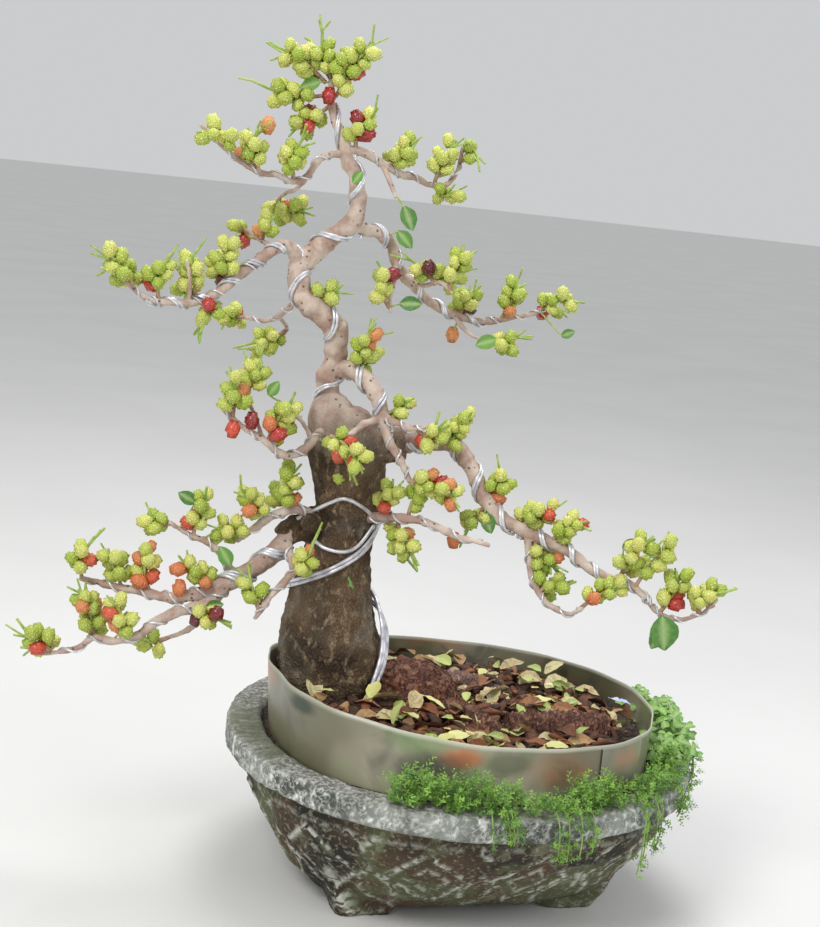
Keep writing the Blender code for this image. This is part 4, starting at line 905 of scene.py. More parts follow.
# Stains in the collar: place from the pot's middle, squeeze along each axis, size, colour, strength.
SHEET_STAINS = [
    ((-0.129, -0.11, 0.174), (1.0, 1.0, 2.2), 0.018, (0.018, 0.035, 0.014), 0.95),
    ((-0.002, -0.153, 0.16), (0.8, 0.8, 1.8), 0.017, (0.62, 0.16, 0.05), 0.75),
    ((-0.038, -0.153, 0.173), (0.8, 0.8, 1.3), 0.022, (0.17, 0.27, 0.1), 0.6),
    ((-0.023, -0.156, 0.147), (0.6, 0.6, 1.2), 0.024, (0.05, 0.045, 0.035), 0.75),
    ((0.033, -0.147, 0.158), (0.7, 0.7, 1.6), 0.02, (0.055, 0.075, 0.035), 0.65),
    ((0.075, -0.132, 0.151), (0.6, 0.6, 1.2), 0.022, (0.3, 0.14, 0.06), 0.5),
]


def sheet_finish(look):
    """Weathered plastic sheet: dull olive-beige, cloudy with stains from what lies behind it."""
    mat = Finish("weathered_sheet", Coat_Roughness=0.3)
    broad = mat.patches(7.0, 0.36, 0.64, Detail=3.0)
    color = mat.mix(broad, look.sheet_dark, look.sheet_light)
    green = mat.patches(15.0, 0.53, 0.72, Vector=mat.stretched((1.0, 1.0, 0.8)), Detail=2.0)
    color = mat.over(color, (0.16, 0.26, 0.07), green, 0.55)
    warm = mat.patches(12.0, 0.56, 0.74, Vector=mat.stretched((1.2, 1.0, 1.9)), Detail=2.0)
    color = mat.over(color, (0.46, 0.16, 0.06), warm, 0.6)
    shade = mat.patches(20.0, 0.55, 0.75, Detail=4.0, Distortion=0.8)
    color = mat.over(color, (0.05, 0.05, 0.04), shade, 0.65)
    for spot, stretch, size, stain, strength in SHEET_STAINS:
        away = mat.vector("MULTIPLY", mat.vector("SUBTRACT", mat.place, tuple(MIDDLE + Vector(spot))), stretch)
        far = mat.add("ShaderNodeVectorMath", {0: away}, operation="LENGTH").outputs["Value"]
        ragged = mat.plus(far, mat.times(mat.grain(60.0, 25.0), size * 0.7))
        color = mat.mix(mat.squeeze(ragged, size * 1.7, size * 0.9, 0.0, strength), color, stain)
    lip = mat.value("lip")
    color = mat.over(color, (0.6, 0.6, 0.5), lip, 0.7)
    mat.bump(mat.grain(300.0, 30.0), 0.12, 0.0015)
    return mat.set(Base_Color=color, Roughness=mat.squeeze(broad, 0, 1, 0.32, 0.5),
                   Coat_Weight=mat.squeeze(lip, 0, 1, 0.3, 0))


def mesh_finish():
    mat = Finish("drain_plastic")
    dirt = mat.patches(150.0, 0.45, 0.65)
    mat.bump(mat.grain(600.0), 0.3, 0.0008)
    return mat.set(Base_Color=mat.mix(dirt, (0.015, 0.015, 0.016), (0.09, 0.07, 0.05)),
                   Roughness=mat.squeeze(dirt, 0, 1, 0.5, 0.9))


# ---- Pieces ----


def jitter(place, scale, seed=0.0):
    """A steady pseudo-random number from -1 to 1 that drifts over the given distance."""
    return noise.noise(place / scale + Vector((seed, seed * 1.7, -seed)))


def ridge(place, scale, seed=0.0):
    """From 0 to 1, highest along sharp wandering lines."""
    return 1 - min(1, abs(jitter(place, scale, seed)) * 2.4)


def press(obj, depth_of):
    """Moves every point out along its normal by what depth_of(place, normal) gives."""
    mesh = obj.data
    moves = [depth_of(point.co, point.normal) for point in mesh.vertices]
    normals = [point.normal.copy() for point in mesh.vertices]
    for point, normal, move in zip(mesh.vertices, normals, moves):
        point.co += normal * move
    mesh.update()


def mixed(low, high, share):
    return low + (high - low) * share


def clamped(value, low=0.0, high=1.0):
    return max(low, min(high, value))


def local_of(place):
    """A place on the pot's own axes."""
    return POT_PLACE.inverted() @ place


# Bowl, from the foot up: share of the neck's length, share of its depth, squareness, share of the height.
BOWL = [(0.685, 0.49, 3.0, 0.0), (0.74, 0.555, 2.9, 0.085), (0.79, 0.615, 2.8, 0.17), (0.84, 0.7, 2.65, 0.31),
        (0.88, 0.77, 2.5, 0.44), (0.922, 0.845, 2.4, 0.57), (0.955, 0.905, 2.35, 0.7),
        (0.984, 0.96, 2.28, 0.85),
        (1.0, 1.0, 2.2, 1.0)]
NECK = (0.181, 0.176)
RIM_HALF = (0.195, 0.19)
BOWL_SIDES = 96


def add_foot(builder, sign_across, sign_deep):
    """A leg that carries the bowl's corner down to the ground, drawn in towards its sole."""
    levels = [(0.0, 0.06, 0.114, 0.036, 0.077), (0.01, 0.056, 0.118, 0.034, 0.081),
              (0.03, 0.052, 0.126, 0.032, 0.088)]
    rings = []
    for height, inner, outer, near, far in levels:
        ring = []
        for index in range(24):
            angle = tau * index / 24
            across = copysign(abs(cos(angle)) ** 0.55, cos(angle))
            deep = copysign(abs(sin(angle)) ** 0.55, sin(angle))
            ring.append(POT_PLACE @ Vector((sign_across * ((inner + outer) / 2 + across * (outer - inner) / 2),
                                            sign_deep * ((near + far) / 2 + deep * (far - near) / 2), height)))
        rings.append(ring)
    add_skin(builder, rings)


def hammer_edge(local):
    """How far a place on the rim lies from the edge of its hammer mark."""
    tilted = Vector((atan2(local.y, local.x) * 0.19 + local.z * 0.5, local.z * 0.8, 0.3))
    near = noise.voronoi(tilted / 0.0085)[0]
    return near[1] - near[0]


def bowl_depth(place, normal, look):
    """How far the surface stands out or in: hammered rim, carved leaf and diamond relief, pitted cement."""
    local = local_of(place)
    turn = atan2(local.y, local.x)
    on_rim = clamped((local.z - 0.104) / 0.004)
    outward = clamped(1.2 - abs(normal.z) * 1.2)
    move = on_rim * clamped(hammer_edge(local), 0, 0.5) * look.hammer * outward
    move += on_rim * jitter(place, 0.03, 3.0) * 0.0016 * outward
    move += on_rim * (1 - outward) * (jitter(place, 0.012) * 0.0009 + jitter(place, 0.035, 4.0) * 0.0012)
    below = 1 - on_rim
    move += below * (jitter(place, 0.018, 5.0) * 0.0018 + jitter(place, 0.006, 2.0) * 0.0008)
    move += below * relief_at(turn, local.z) * look.relief * outward
    return move


def relief_at(turn, height):
    """Height, 0 to 1, of the carved lines on the bowl: a run of diamonds with leaves between them."""
    if not 0.0 <= height < 0.1:
        return 0.0
    along = turn / tau * 11
    cell = along - along // 1 - 0.5
    level = (height - 0.056) / 0.036
    diamond = abs(cell) * 2.1 + abs(level) * 0.9
    line = clamped(1 - abs(diamond - 0.8) / 0.11)
    inner = clamped(1 - abs(diamond - 0.4) / 0.1) * 0.7
    leaf = clamped(1 - abs(abs(cell) - 0.44 - 0.1 * sin(level * 3.2)) / 0.05) * 0.8
    band = clamped(1 - abs(height - 0.096) / 0.004) * 0.4
    corner = clamped(1.2 - abs(turn + 2.52) / 0.06) * clamped((0.062 - height) / 0.03)
    line = max(line, corner)
    return clamped(max(line, inner, leaf, band)) * clamped((0.102 - height) / 0.006)


def make_pot(look):
    """The cast bowl, its rolled rim and its four feet, grown into one skin and then hammered and worn."""
    builder = bmesh.new()
    neck_height = POT_HEIGHT - RIM_THICK
    rings = [oval(NECK[0] * length, NECK[1] * depth, power, mixed(FOOT_HEIGHT, neck_height, rise), BOWL_SIDES)
             for length, depth, power, rise in BOWL]
    rim = [(-0.0035, 0.0005), (0.0, 0.0025), (0.0, 0.0185), (-0.001, 0.0205), (-0.004, 0.021)]
    for grow, rise in rim:
        rings.append(oval(RIM_HALF[0] + grow, RIM_HALF[1] + grow, 2.05, neck_height + rise, BOWL_SIDES))
    rings.append(oval(RIM_HALF[0] - RIM_LEDGE + 0.003, RIM_HALF[1] - RIM_LEDGE + 0.003, 2.2, POT_HEIGHT,
                      BOWL_SIDES))
    rings.append(oval(RIM_HALF[0] - RIM_LEDGE, RIM_HALF[1] - RIM_LEDGE, 2.2, POT_HEIGHT - 0.003, BOWL_SIDES))
    for length, depth, power, rise in reversed(BOWL[1:]):
        rings.append(oval(NECK[0] * length - POT_WALL, NECK[1] * depth - POT_WALL, power,
                          mixed(FOOT_HEIGHT + POT_FLOOR, neck_height, rise), BOWL_SIDES))
    add_skin(builder, rings)
    for sign_across in (-1, 1):
        for sign_deep in (-1, 1):
            add_foot(builder, sign_across, sign_deep)
    pot = remesh(build("pot_body", builder), look.pot_voxel, 2)
    press(pot, lambda place, normal: bowl_depth(place, normal, look))
    mesh = pot.data
    edge, carved, top, crests = [], [], [], []
    for point in mesh.vertices:
        point.co.z = max(point.co.z, 0.0)
    mesh.update()
    for point in mesh.vertices:
        local = local_of(point.co)
        reach = (abs(local.x) / RIM_HALF[0]) ** 2.05 + (abs(local.y) / RIM_HALF[1]) ** 2.05
        edge.append(clamped((local.z - 0.1055) / 0.0025))
        crests.append(clamped(1 - hammer_edge(local) / 0.16))
        level = clamped((point.normal.z - 0.55) * 3) * clamped((local.z - 0.12) / 0.004)
        top.append(level * clamped(1.6 - reach))
        ridges = relief_at(atan2(local.y, local.x), local.z)
        ground = clamped(1 - abs(local.z - 0.004) / 0.006) * 0.4
        carved.append(clamped(ridges + ground))
    for key, values in (("rim", edge), ("relief", carved), ("ledge", top), ("crest", crests)):
        set_values(mesh, key, values)
    return finish_piece(pot, "pot_cast", cement_finish(look), ["pot"])


def collar_ring(part, outset, drop=0.0, sides=144):
    """The sheet's outline at a share of its height, which may end a little below its top."""
    ring = []
    for index in range(sides):
        angle = tau * index / sides
        level = mixed(COLLAR_LOW, collar_top(0.5 - 0.5 * cos(angle)) - drop, part)
        share = (level - COLLAR_LOW) / (COLLAR_TOPS[0] - COLLAR_LOW)
        halves = [mixed(foot, full, share) + outset for foot, full in zip(COLLAR_FOOT, COLLAR_FULL)]
        place = oval_point(angle, *halves, 2.15) - Vector((*COLLAR_SHIFT, 0))
        wave = 0.0012 * sin(angle * 7 + 1.1) * share + 0.0009 * sin(angle * 17) * share
        ring.append(POT_PLACE @ Vector((place.x * (1 + wave / 0.15), place.y * (1 + wave / 0.15), level)))
    return ring


def collar_top(along):
    """The sheet's top, from its left end to its right one."""
    return COLLAR_TOPS[1] - 0.006 + (COLLAR_TOPS[0] - COLLAR_TOPS[1] + 0.006) * along ** 2.2


def make_collar(look):
    """The strip of thin sheet bent round inside the rim, a little wavy, with a lapped end."""
    builder = bmesh.new()
    shares = (0.0, 0.2, 0.4, 0.6, 0.8, 0.93, 1.0)
    outer = [collar_ring(part, 0.0) for part in shares]
    inner = [collar_ring(part, -0.0012) for part in reversed(shares)]
    add_skin(builder, outer + inner, close_ends=False, loop=True)
    lap = []
    for outset, part in ((0.0001, 0.0), (0.0014, 0.02), (0.0014, 0.98), (0.0001, 1.0)):
        lap.append(collar_ring(part, outset, drop=0.002)[118:127])
    rows = [[builder.verts.new(place) for place in row] for row in lap]
    for low, high in zip(rows, rows[1:]):
        for index in range(len(low) - 1):
            builder.faces.new((low[index], low[index + 1], high[index + 1], high[index]))
    collar = build("collar", builder)
    lips = []
    for point in collar.data.vertices:
        local = local_of(point.co)
        along = clamped((1 - (local.x + COLLAR_SHIFT[0]) / 0.162) / 2)
        lips.append(clamped((local.z - collar_top(along) + 0.003) / 0.002))
    set_values(collar.data, "lip", lips)
    return finish_piece(collar, "collar_strip", sheet_finish(look), ["soil_collar"])


def in_collar(local):
    """Below 1 inside the collar's foot, on the pot's axes."""
    return sum((abs(local[axis] + COLLAR_SHIFT[axis]) / COLLAR_FOOT[axis]) ** 2.15 for axis in (0, 1))


def soil_level(local):
    """The soil's height at a place on the pot's axes: a mound inside the collar, a low gutter outside it."""
    if in_collar(local) > 0.93:
        return POT_HEIGHT - 0.003
    place = POT_PLACE @ Vector((local.x, local.y, 0))
    near = (place - MIDDLE - TREE_FOOT).length
    return 0.147 + 0.012 * max(0, 1 - near / 0.15) + jitter(place, 0.022) * 0.0025 + jitter(place, 0.006,
            7.0) * 0.0018


def make_soil():
    builder = bmesh.new()
    rings = []
    for share in [index / 44 for index in range(1, 45)]:
        ring = oval((RIM_HALF[0] - RIM_LEDGE - 0.0015) * share, (RIM_HALF[1] - RIM_LEDGE - 0.0015) * share,
                    2.15, 0, 160)
        for place in ring:
            place.z = soil_level(local_of(place))
        rings.append(ring)
    rings.append([Vector((place.x, place.y, 0.11)) for place in rings[-1]])
    for share, height in ((0.9, 0.09), (0.72, 0.032)):
        rings.append([MIDDLE + (place - MIDDLE) * share for place in rings[-1]])
        for place in rings[-1]:
            place.z = height
    add_skin(builder, rings)
    soil = build("soil", builder)
    return finish_piece(soil, "soil_bed", soil_finish(), ["soil"])


ROOT_RUNS = {
    "root_back": [(-12, 40, 4, 9), (6, 50, 6, 9), (26, 46, 5, 8), (44, 30, 0, 6)],
    "root_front": [(-24, -8, 4, 9), (-8, -28, 4, 8.5), (8, -50, 1, 7.5), (14, -66, -4, 6)],
    "root_log": [(20, -58, 2, 12), (45, -60, 3, 13), (80, -60, 3, 13), (108, -56, 1, 12)],
}


def make_roots(material):
    """Three thick roots on the soil, ribbed across, and the ball of fibre between them and the trunk."""
    made = []
    for name, points in ROOT_RUNS.items():
        run = smooth_run([(POT_PLACE @ Vector((x * MM, y * MM, 0.149 + z * MM)), r * MM) for x, y, z,
                          r in points], 0.0035)
        builder = bmesh.new()
        add_tube(builder, run, 28)
        root = remesh(build(name, builder), 0.0014, 2)
        start, end = run[0][0], run[-1][0]
        axis = (end - start).normalized()
        ribs = 0.0014 if name == "root_log" else 0.0006

        def depth_of(place, normal, start=start, axis=axis, ribs=ribs):
            along = (place - start).dot(axis)
            rib = sin(along / 0.0042 * tau + jitter(place, 0.02) * 4)
            return rib * ribs + jitter(place, 0.009, 6.0) * 0.0018 + ridge(place, 0.007, 2.0) * 0.0012

        press(root, depth_of)
        set_values(root.data, "worn", [0.85 if name == "root_back" else 0.15] * len(root.data.vertices))
        made.append(finish_piece(root, name + "_wood", material, [name]))
    builder = bmesh.new()
    bmesh.ops.create_icosphere(builder, subdivisions=5, radius=1.0)
    middle = Vector((-0.038, 0.022, 0.153))
    for point in builder.verts:
        way = point.co.normalized()
        shaggy = 1 + jitter(way, 0.28, 1.0) * 0.09 + ridge(way, 0.13, 2.0) * 0.06 + jitter(way, 0.06,
                5.0) * 0.05
        shape = Vector((way.x * 0.039, way.y * 0.042, way.z * 0.0265)) * shaggy
        point.co = POT_PLACE @ (middle + shape)
    mound = build("root_mound", builder)
    set_values(mound.data, "worn", [0.0] * len(mound.data.vertices))
    made.append(finish_piece(mound, "root_ball", material, ["root_mound"]))
    return made


def limb_runs():
    """Every limb's runs as (place, radius) pairs, by name: the main run, then its side shoots."""
    runs = {}
    for name, limb in LIMBS.items():
        for index, points in enumerate(limb):
            runs[name if index == 0 else f"{name}_side_{index - 1}"] = slimmed(wood_run(points, 0.004), 0.9)
    runs["trunk_top"] = slimmed(wood_run(UPPER_TRUNK, 0.005), 0.86)
    return runs


def knuckled(run, seed):
    """The run with the small swellings that a stem has at each bud."""
    out = []
    for index, (place, radius) in enumerate(run):
        swell = max(0, sin(index * 1.35 + seed * 2.1)) ** 3
        bend = Vector((jitter(place, 0.014, seed), jitter(place, 0.014, seed + 9),
                       jitter(place, 0.014, seed + 4)))
        out.append((place + bend * radius * 0.22, radius * (0.95 + 0.2 * swell)))
    return out


def slimmed(run, share):
    return [(place, radius * share) for place, radius in run]


def make_trunk(look):
    """The trunk with its knot and its two sawn stubs."""
    builder = bmesh.new()
    for points, sides in ((LOWER_TRUNK, 64), (RIGHT_STUB, 36), (FRONT_STUB, 24), (KNOT, 28)):
        add_tube(builder, wood_run(points, 0.006), sides)
    add_tube(builder, slimmed(knuckled(wood_run(UPPER_TRUNK, 0.005), 1.0), 0.84), 32)
    trunk = remesh(build("trunk", builder), look.trunk_voxel, 4)

    def depth_of(place, normal):
        age = clamped((0.4 - place.z) / 0.08)
        tall = Vector((place.x, place.y, place.z * 0.45))
        lumps = jitter(place, 0.045, 3.0) * 0.003 + jitter(place, 0.018, 1.0) * 0.0016
        bark = ridge(tall, 0.011, 4.0) * 0.0016 + jitter(place, 0.0055, 8.0) * 0.0011
        smooth = jitter(place, 0.012, 2.0) * 0.0008 + jitter(place, 0.004, 5.0) * 0.0002
        return age * (lumps + bark) + (1 - age) * smooth

    press(trunk, depth_of)
    return finish_piece(trunk, "trunk_wood", bark_finish("trunk_bark", look, 0.355, 0.425),
                        ["trunk"])


def make_limb(limb_name, look, number, material):
    name = "limb_" + limb_name
    builder = bmesh.new()
    for index, points in enumerate(LIMBS[limb_name]):
        add_tube(builder, slimmed(knuckled(wood_run(points, 0.004), number + index), 0.88), 18)
    limb = remesh(build(name, builder), look.limb_voxel, 3)
    press(limb, lambda place, normal: jitter(place, 0.009, 2.0) * 0.0006 + ridge(place, 0.006, 3.0) * 0.0003)
    return finish_piece(limb, name + "_wood", material, [name])


def make_wires(metal):
    """Training wires wound in side by side strands round the limbs."""
    runs = limb_runs()
    made = []
    for number, (name, start, end, turns, phase, gauge, strands) in enumerate(WINDINGS):
        radius = gauge * 0.84
        run = runs[name]
        length = sum((second[0] - first[0]).length for first, second in zip(run, run[1:]))
        for strand in range(strands):
            shift = strand * 2.15 * radius * MM / length
            line = runs_object(f"winding_{number}_{strand}", [run])
            made.append(run_tree(line, tree("winding"), {
                "Start": min(0.99, start + shift), "End": min(1.0, end + shift), "Turns": turns,
                "Phase": radians(phase), "Wire Radius": radius * MM, "Points": int(turns * 26) + 8,
                "Material": metal}))
    return made


def axis_at(run, height):
    for low, high in zip(run, run[1:]):
        if low[0].z <= height <= high[0].z:
            return low[0].lerp(high[0], (height - low[0].z) / (high[0].z - low[0].z))
    return run[0][0] if height < run[0][0].z else run[-1][0]


def make_trunk_wires(metal):
    skin = BVHTree.FromObject(bpy.data.objects["trunk_wood"], bpy.context.evaluated_depsgraph_get())
    axis = wood_run(LOWER_TRUNK, 0.006)
    made = []
    for number, (name, points) in enumerate(TRUNK_WIRES.items()):
        for strand in range(2 if number < 2 else 1):
            line = []
            for angle, height, stand in points:
                middle = axis_at(axis, (height + strand * 3.6) * MM)
                way = Vector((cos(radians(angle)), sin(radians(angle)), 0))
                middle = Vector((middle.x, middle.y, (height + strand * 3.6) * MM))
                hit = skin.ray_cast(middle + way * 0.12, -way, 0.12)[0]
                line.append(((hit or middle + way * 0.04) + way * (stand + 1.5) * MM, 0.0016))
            made.append(swept(f"{name}_{strand}", [smooth_run(line, 0.003)], 10, metal))
    return made


def joined(name, parts):
    """One object from several."""
    builder = bmesh.new()
    for part in parts:
        builder.from_mesh(part.data)
        bpy.data.objects.remove(part)
    return mesh_of(name, builder)


# ---- Fruit, shoots and leaves ----


def depth_finder():
    """Looks up the depth of the nearest wood to a place seen from the front."""
    spots = []
    for limb in list(LIMBS.values()) + [[UPPER_TRUNK[4:]], [[(x, z, y - 18, r) for x, z, y,
            r in LOWER_TRUNK[6:]]]]:
        for points in limb:
            for first, second in zip(points, points[1:]):
                for step in range(4):
                    spots.append([mixed(a, b, step / 4) for a, b in zip(first, second)])
            spots.append(points[-1])
    tree = KDTree(len(spots))
    for index, spot in enumerate(spots):
        tree.insert((spot[0], spot[1], 0), index)
    tree.balance()
    return lambda across, up: spots[tree.find((across, up, 0))[1]][2]


def shoot_runs(look):
    """Each fruiting shoot's run of points and count of fruit, with a few more that lean away at the back."""
    depth_of = depth_finder()
    rng = random.Random(look.seed)
    runs = []
    for x0, z0, x1, z1, x2, z2, count in SHOOTS:
        depth = depth_of(x0, z0)
        lean = rng.uniform(-16, 2)
        runs.append(([seen(x0, z0, depth), seen(x1, z1, depth + lean * 0.6), seen(x2, z2, depth + lean)],
                     count))
        if rng.random() < look.back_shoots:
            away = rng.uniform(16, 30)
            spread = rng.uniform(-10, 10)
            runs.append(([seen(x0, z0, depth), seen(x1 + spread * 0.5, z1 - 3, depth + away * 0.6),
                          seen(x2 + spread, z2 - rng.uniform(4, 12), depth + away)], max(3, count - 2)))
    return runs


def wood_surface():
    graph = bpy.context.evaluated_depsgraph_get()
    builder = bmesh.new()
    for obj in bpy.data.objects:
        if obj.name == "trunk_wood" or (obj.name.startswith("limb_") and obj.name.endswith("_wood")):
            builder.from_mesh(obj.evaluated_get(graph).data)
    tree = BVHTree.FromBMesh(builder)
    builder.free()
    return tree


def fruit_settings(look):
    """Where each mulberry hangs: spiralled round its shoot, clear of wood and of its neighbours."""
    wood = wood_surface()
    rng = random.Random(look.seed + 1)
    eye = MIDDLE + EYE
    placed, settings = [], []
    for points, count in shoot_runs(look):
        run = smooth_run([(place, 1.0) for place in points], 0.0012)
        frames = frames_along(run)
        made, turn = 0, rng.uniform(0, tau)
        for trial in range(count * 9):
            if made >= count:
                break
            share = 0.22 + 0.78 * (trial % (count * 2)) / (count * 2)
            place, _, tangent, side, up = frames[min(len(frames) - 1, int(share * len(frames)))]
            turn += GOLDEN_TURN
            spread = rng.uniform(0.35, 0.9) if share < 0.9 else rng.uniform(0.9, 1.6)
            way = (side * cos(turn) + up * sin(turn) + tangent * spread + Vector((0, 0, 0.15))).normalized()
            size = rng.uniform(0.86, 1.12)
            middle = place + way * (look.fruit_length * 0.5 * size + 0.0012)
            if any((middle - other).length < look.fruit_spacing * size for other in placed[-60:]):
                continue
            if wood.find_nearest(middle)[3] < look.fruit_radius * 0.75:
                continue
            placed.append(middle)
            made += 1
            settings.append([middle, way, size, rng.uniform(0.0, 0.46)])
    sight = [((item[0] - eye).normalized(), item) for item in settings]
    stalks = []
    for x, z, stage in RIPE_FRUIT:
        aim = (seen(x, z, 0) - eye).normalized()
        way, item = min(sight, key=lambda entry: (entry[0] - aim).length)
        if (way - aim).length < 0.01:
            item[3] = stage
            item[2] *= 1.0 + 0.16 * clamped((stage - 0.6) / 0.3)
        else:
            place = eye + aim * (item[0] - eye).length
            foot = wood.find_nearest(place)[0]
            settings.append([place, Vector((0, -0.3, -1)).normalized(), 1.08, stage])
            stalks.append([(foot, 0.0012), (foot.lerp(place, 0.5) + Vector((0, 0, 0.003)), 0.0009),
                           (place, 0.0009)])
    return settings, stalks


def berry_form(look):
    """One mulberry: a plump oval of twenty blunt points, which the skin's own relief divides further."""
    builder = bmesh.new()
    bmesh.ops.create_icosphere(builder, subdivisions=1, radius=0.97)
    hollows = set(builder.verts)
    bmesh.ops.poke(builder, faces=builder.faces)
    for point in builder.verts:
        reach = 1.0 if point in hollows else 1.12 / point.co.length
        point.co = point.co * reach * Vector((look.fruit_radius, look.fruit_radius, look.fruit_length / 2))
    # The lump value is lower in the hollows, and the skin paints shade where it is low.
    lumps = [0.55 if point in hollows else 1.0 for point in builder.verts]
    form = build("berry_form", builder)
    set_values(form.data, "lump", lumps)
    return form


def make_stalks(name, runs, look):
    green = shoot_finish(look)
    return finish_piece(swept(name, runs, 6, green), name, green)


def make_fruit(look):
    settings = []
    hung, stalks = fruit_settings(look)
    if stalks:
        make_stalks("fruit_stalks", stalks, look)
    for middle, way, size, ripe in hung:
        turn = way.to_track_quat("Z", "Y").to_matrix() @ Matrix.Rotation(middle.x * 400, 3, "Z")
        settings.append((middle, turn, size, {"ripe": ripe}))
    skin = fruit_finish(look)
    return scatter_piece("mulberries", berry_form(look), settings, skin, nodes_like("fruit_"))


def make_shoots(look):
    """Green shoots among the fruit, most with a few bare cut ends that stand past it."""
    rng = random.Random(look.seed + 2)
    runs = []
    for points, count in shoot_runs(look):
        start, middle, tip = points
        runs.append(smooth_run([(start, 0.0019), (middle, 0.0014), (tip, 0.0011)], 0.004))
        heading = (tip - middle).normalized()
        for _ in range(rng.choice((1, 2, 2, 3))):
            share = rng.uniform(0.4, 1.0)
            base = middle.lerp(tip, share)
            way = (heading + Vector([rng.uniform(-0.6, 0.6) for _ in range(3)])).normalized()
            reach = rng.uniform(0.01, 0.019)
            thick = rng.uniform(0.0008, 0.00115)
            runs.append([(base, thick * 1.1), (base + way * reach * 0.5, thick),
                         (base + way * reach, thick * 0.95)])
    return make_stalks("fruiting_shoots", runs, look)


def leaf_form(length, width, fold, curl):
    """A leaf from its stalk along +X, folded along its midrib and curled down at its tip."""
    builder = bmesh.new()
    rows, ribs = [], []
    for step in range(7):
        share = step / 6
        half = width / 2 * sin(pi * min(1.0, 0.04 + share * 0.95)) ** 0.75
        drop = -curl * share * share
        row = []
        for across in (-1, -0.5, 0, 0.5, 1):
            ripple = 0.04 * width * sin(share * 17 + across * 3) * abs(across)
            row.append(builder.verts.new((length * share, half * across,
                                          drop + abs(across) * half * fold + ripple)))
            ribs.append(1.0 if across == 0 else 0.0)
        rows.append(row)
    for low, high in zip(rows, rows[1:]):
        for index in range(4):
            builder.faces.new((low[index], low[index + 1], high[index + 1], high[index]))
    form = build("leaf_form", builder)
    set_values(form.data, "rib", ribs)
    return form


def facing(way, up):
    """A turn that points +X along the way with +Z as near to up as it can be."""
    across = way.normalized()
    side = up.cross(across).normalized()
    return Matrix((across, side, across.cross(side))).transposed()


def make_leaves(look):
    """The few leaves left on the shoots after pruning, and the one at the right limb's end."""
    depth_of = depth_finder()
    wood = wood_surface()
    settings, stalks = [], []
    for across, up, turn, length in LEAVES:
        angle = radians(turn)
        way = Vector((cos(angle), -0.25, sin(angle)))
        place = seen(across, up, depth_of(across, up) - 6)
        foot = wood.find_nearest(place)[0]
        stalks.append([(foot, 0.0009), (foot.lerp(place, 0.5), 0.0007), (place + way * 0.0006, 0.0006)])
        settings.append((place, facing(way, Vector((0.2, -1, 0.35))), length / 20, {"tint": (turn % 70) / 70}))
    make_stalks("leaf_stalks", stalks, look)
    material = leaf_finish("mulberry_leaf", look.leaf_dark, look.leaf_light)
    scatter_piece("shoot_leaves", leaf_form(0.02, 0.014, 0.25, 0.004), settings, material)
    hang = facing(Vector((0.25, -0.4, -1)), Vector((0.1, -1, 0.3)))
    settings = [(seen(158, 246, -84), hang, 1.0, {"tint": 0.3})]
    form = leaf_form(0.026, 0.024, 0.2, 0.008)
    return scatter_piece("tip_leaf", form, settings, material, ["leaf_right_tip"])


# ---- Litter and weeds ----


def chip_form(length, width, seed):
    """A torn flake of bark with uneven edges."""
    builder = bmesh.new()
    rings = []
    for share, lean in ((0.0, 0.5), (0.3, 1.0), (0.7, 0.9), (1.0, 0.35)):
        ring = []
        for index in range(8):
            angle = tau * index / 8
            wobble = 1 + 0.25 * jitter(Vector((share * 3, cos(angle), sin(angle))), 0.7, seed)
            ring.append(Vector(((share - 0.5) * length, cos(angle) * width / 2 * lean * wobble,
                                sin(angle) * length * 0.22 / 2 * lean * wobble + 0.1 * length * sin(share * 3))))
        rings.append(ring)
    add_skin(builder, rings)
    return build("chip_form", builder, smooth=False)


BARE = [(Vector((-0.04, 0.024)), 0.034)] + [
    (Vector((point[0] * MM, point[1] * MM)), point[3] * MM) for run in ROOT_RUNS.values()
    for point in [[mixed(a, b, step / 3) for a, b in zip(first, second)] for first, second in zip(run, run[1:])
                  for step in range(4)]]


def litter_spots(count, rng, keep_off):
    """Places on the soil inside the collar, on the pot's axes, off the trunk and the roots."""
    spots = []
    while len(spots) < count:
        local = Vector((rng.uniform(-0.16, 0.155), rng.uniform(-0.15, 0.135), 0))
        if in_collar(local) > 0.7 or in_collar(local * 1.05) > 0.76:
            continue
        place = POT_PLACE @ local
        if (place - MIDDLE - TREE_FOOT).length < keep_off:
            continue
        bare = min([((local.xy - spot).length - reach) for spot, reach in BARE])
        if bare < 0 and rng.random() < 0.93:
            continue
        spots.append(local)
    return spots


def spun(way, rng):
    """A turn that points +Z along the way, spun at random round it."""
    return way.to_track_quat("Z", "Y").to_matrix() @ Matrix.Rotation(rng.uniform(0, tau), 3, "Z")


def tossed(rng, tilt):
    return (Matrix.Rotation(rng.uniform(0, tau), 3, "Z") @ Matrix.Rotation(rng.gauss(0, tilt), 3, "X")
            @ Matrix.Rotation(rng.gauss(0, tilt), 3, "Y"))


def strewn(rng, count, keep_off, lift, tilt, sizes, tint):
    """Settings for pieces that lie on the soil, each with the tint that tint() draws for it."""
    settings = []
    for local in litter_spots(count, rng, keep_off):
        place = POT_PLACE @ Vector((local.x, local.y, soil_level(local) + rng.uniform(*lift)))
        settings.append((place, tossed(rng, tilt), rng.uniform(*sizes), {"tint": tint()}))
    return settings


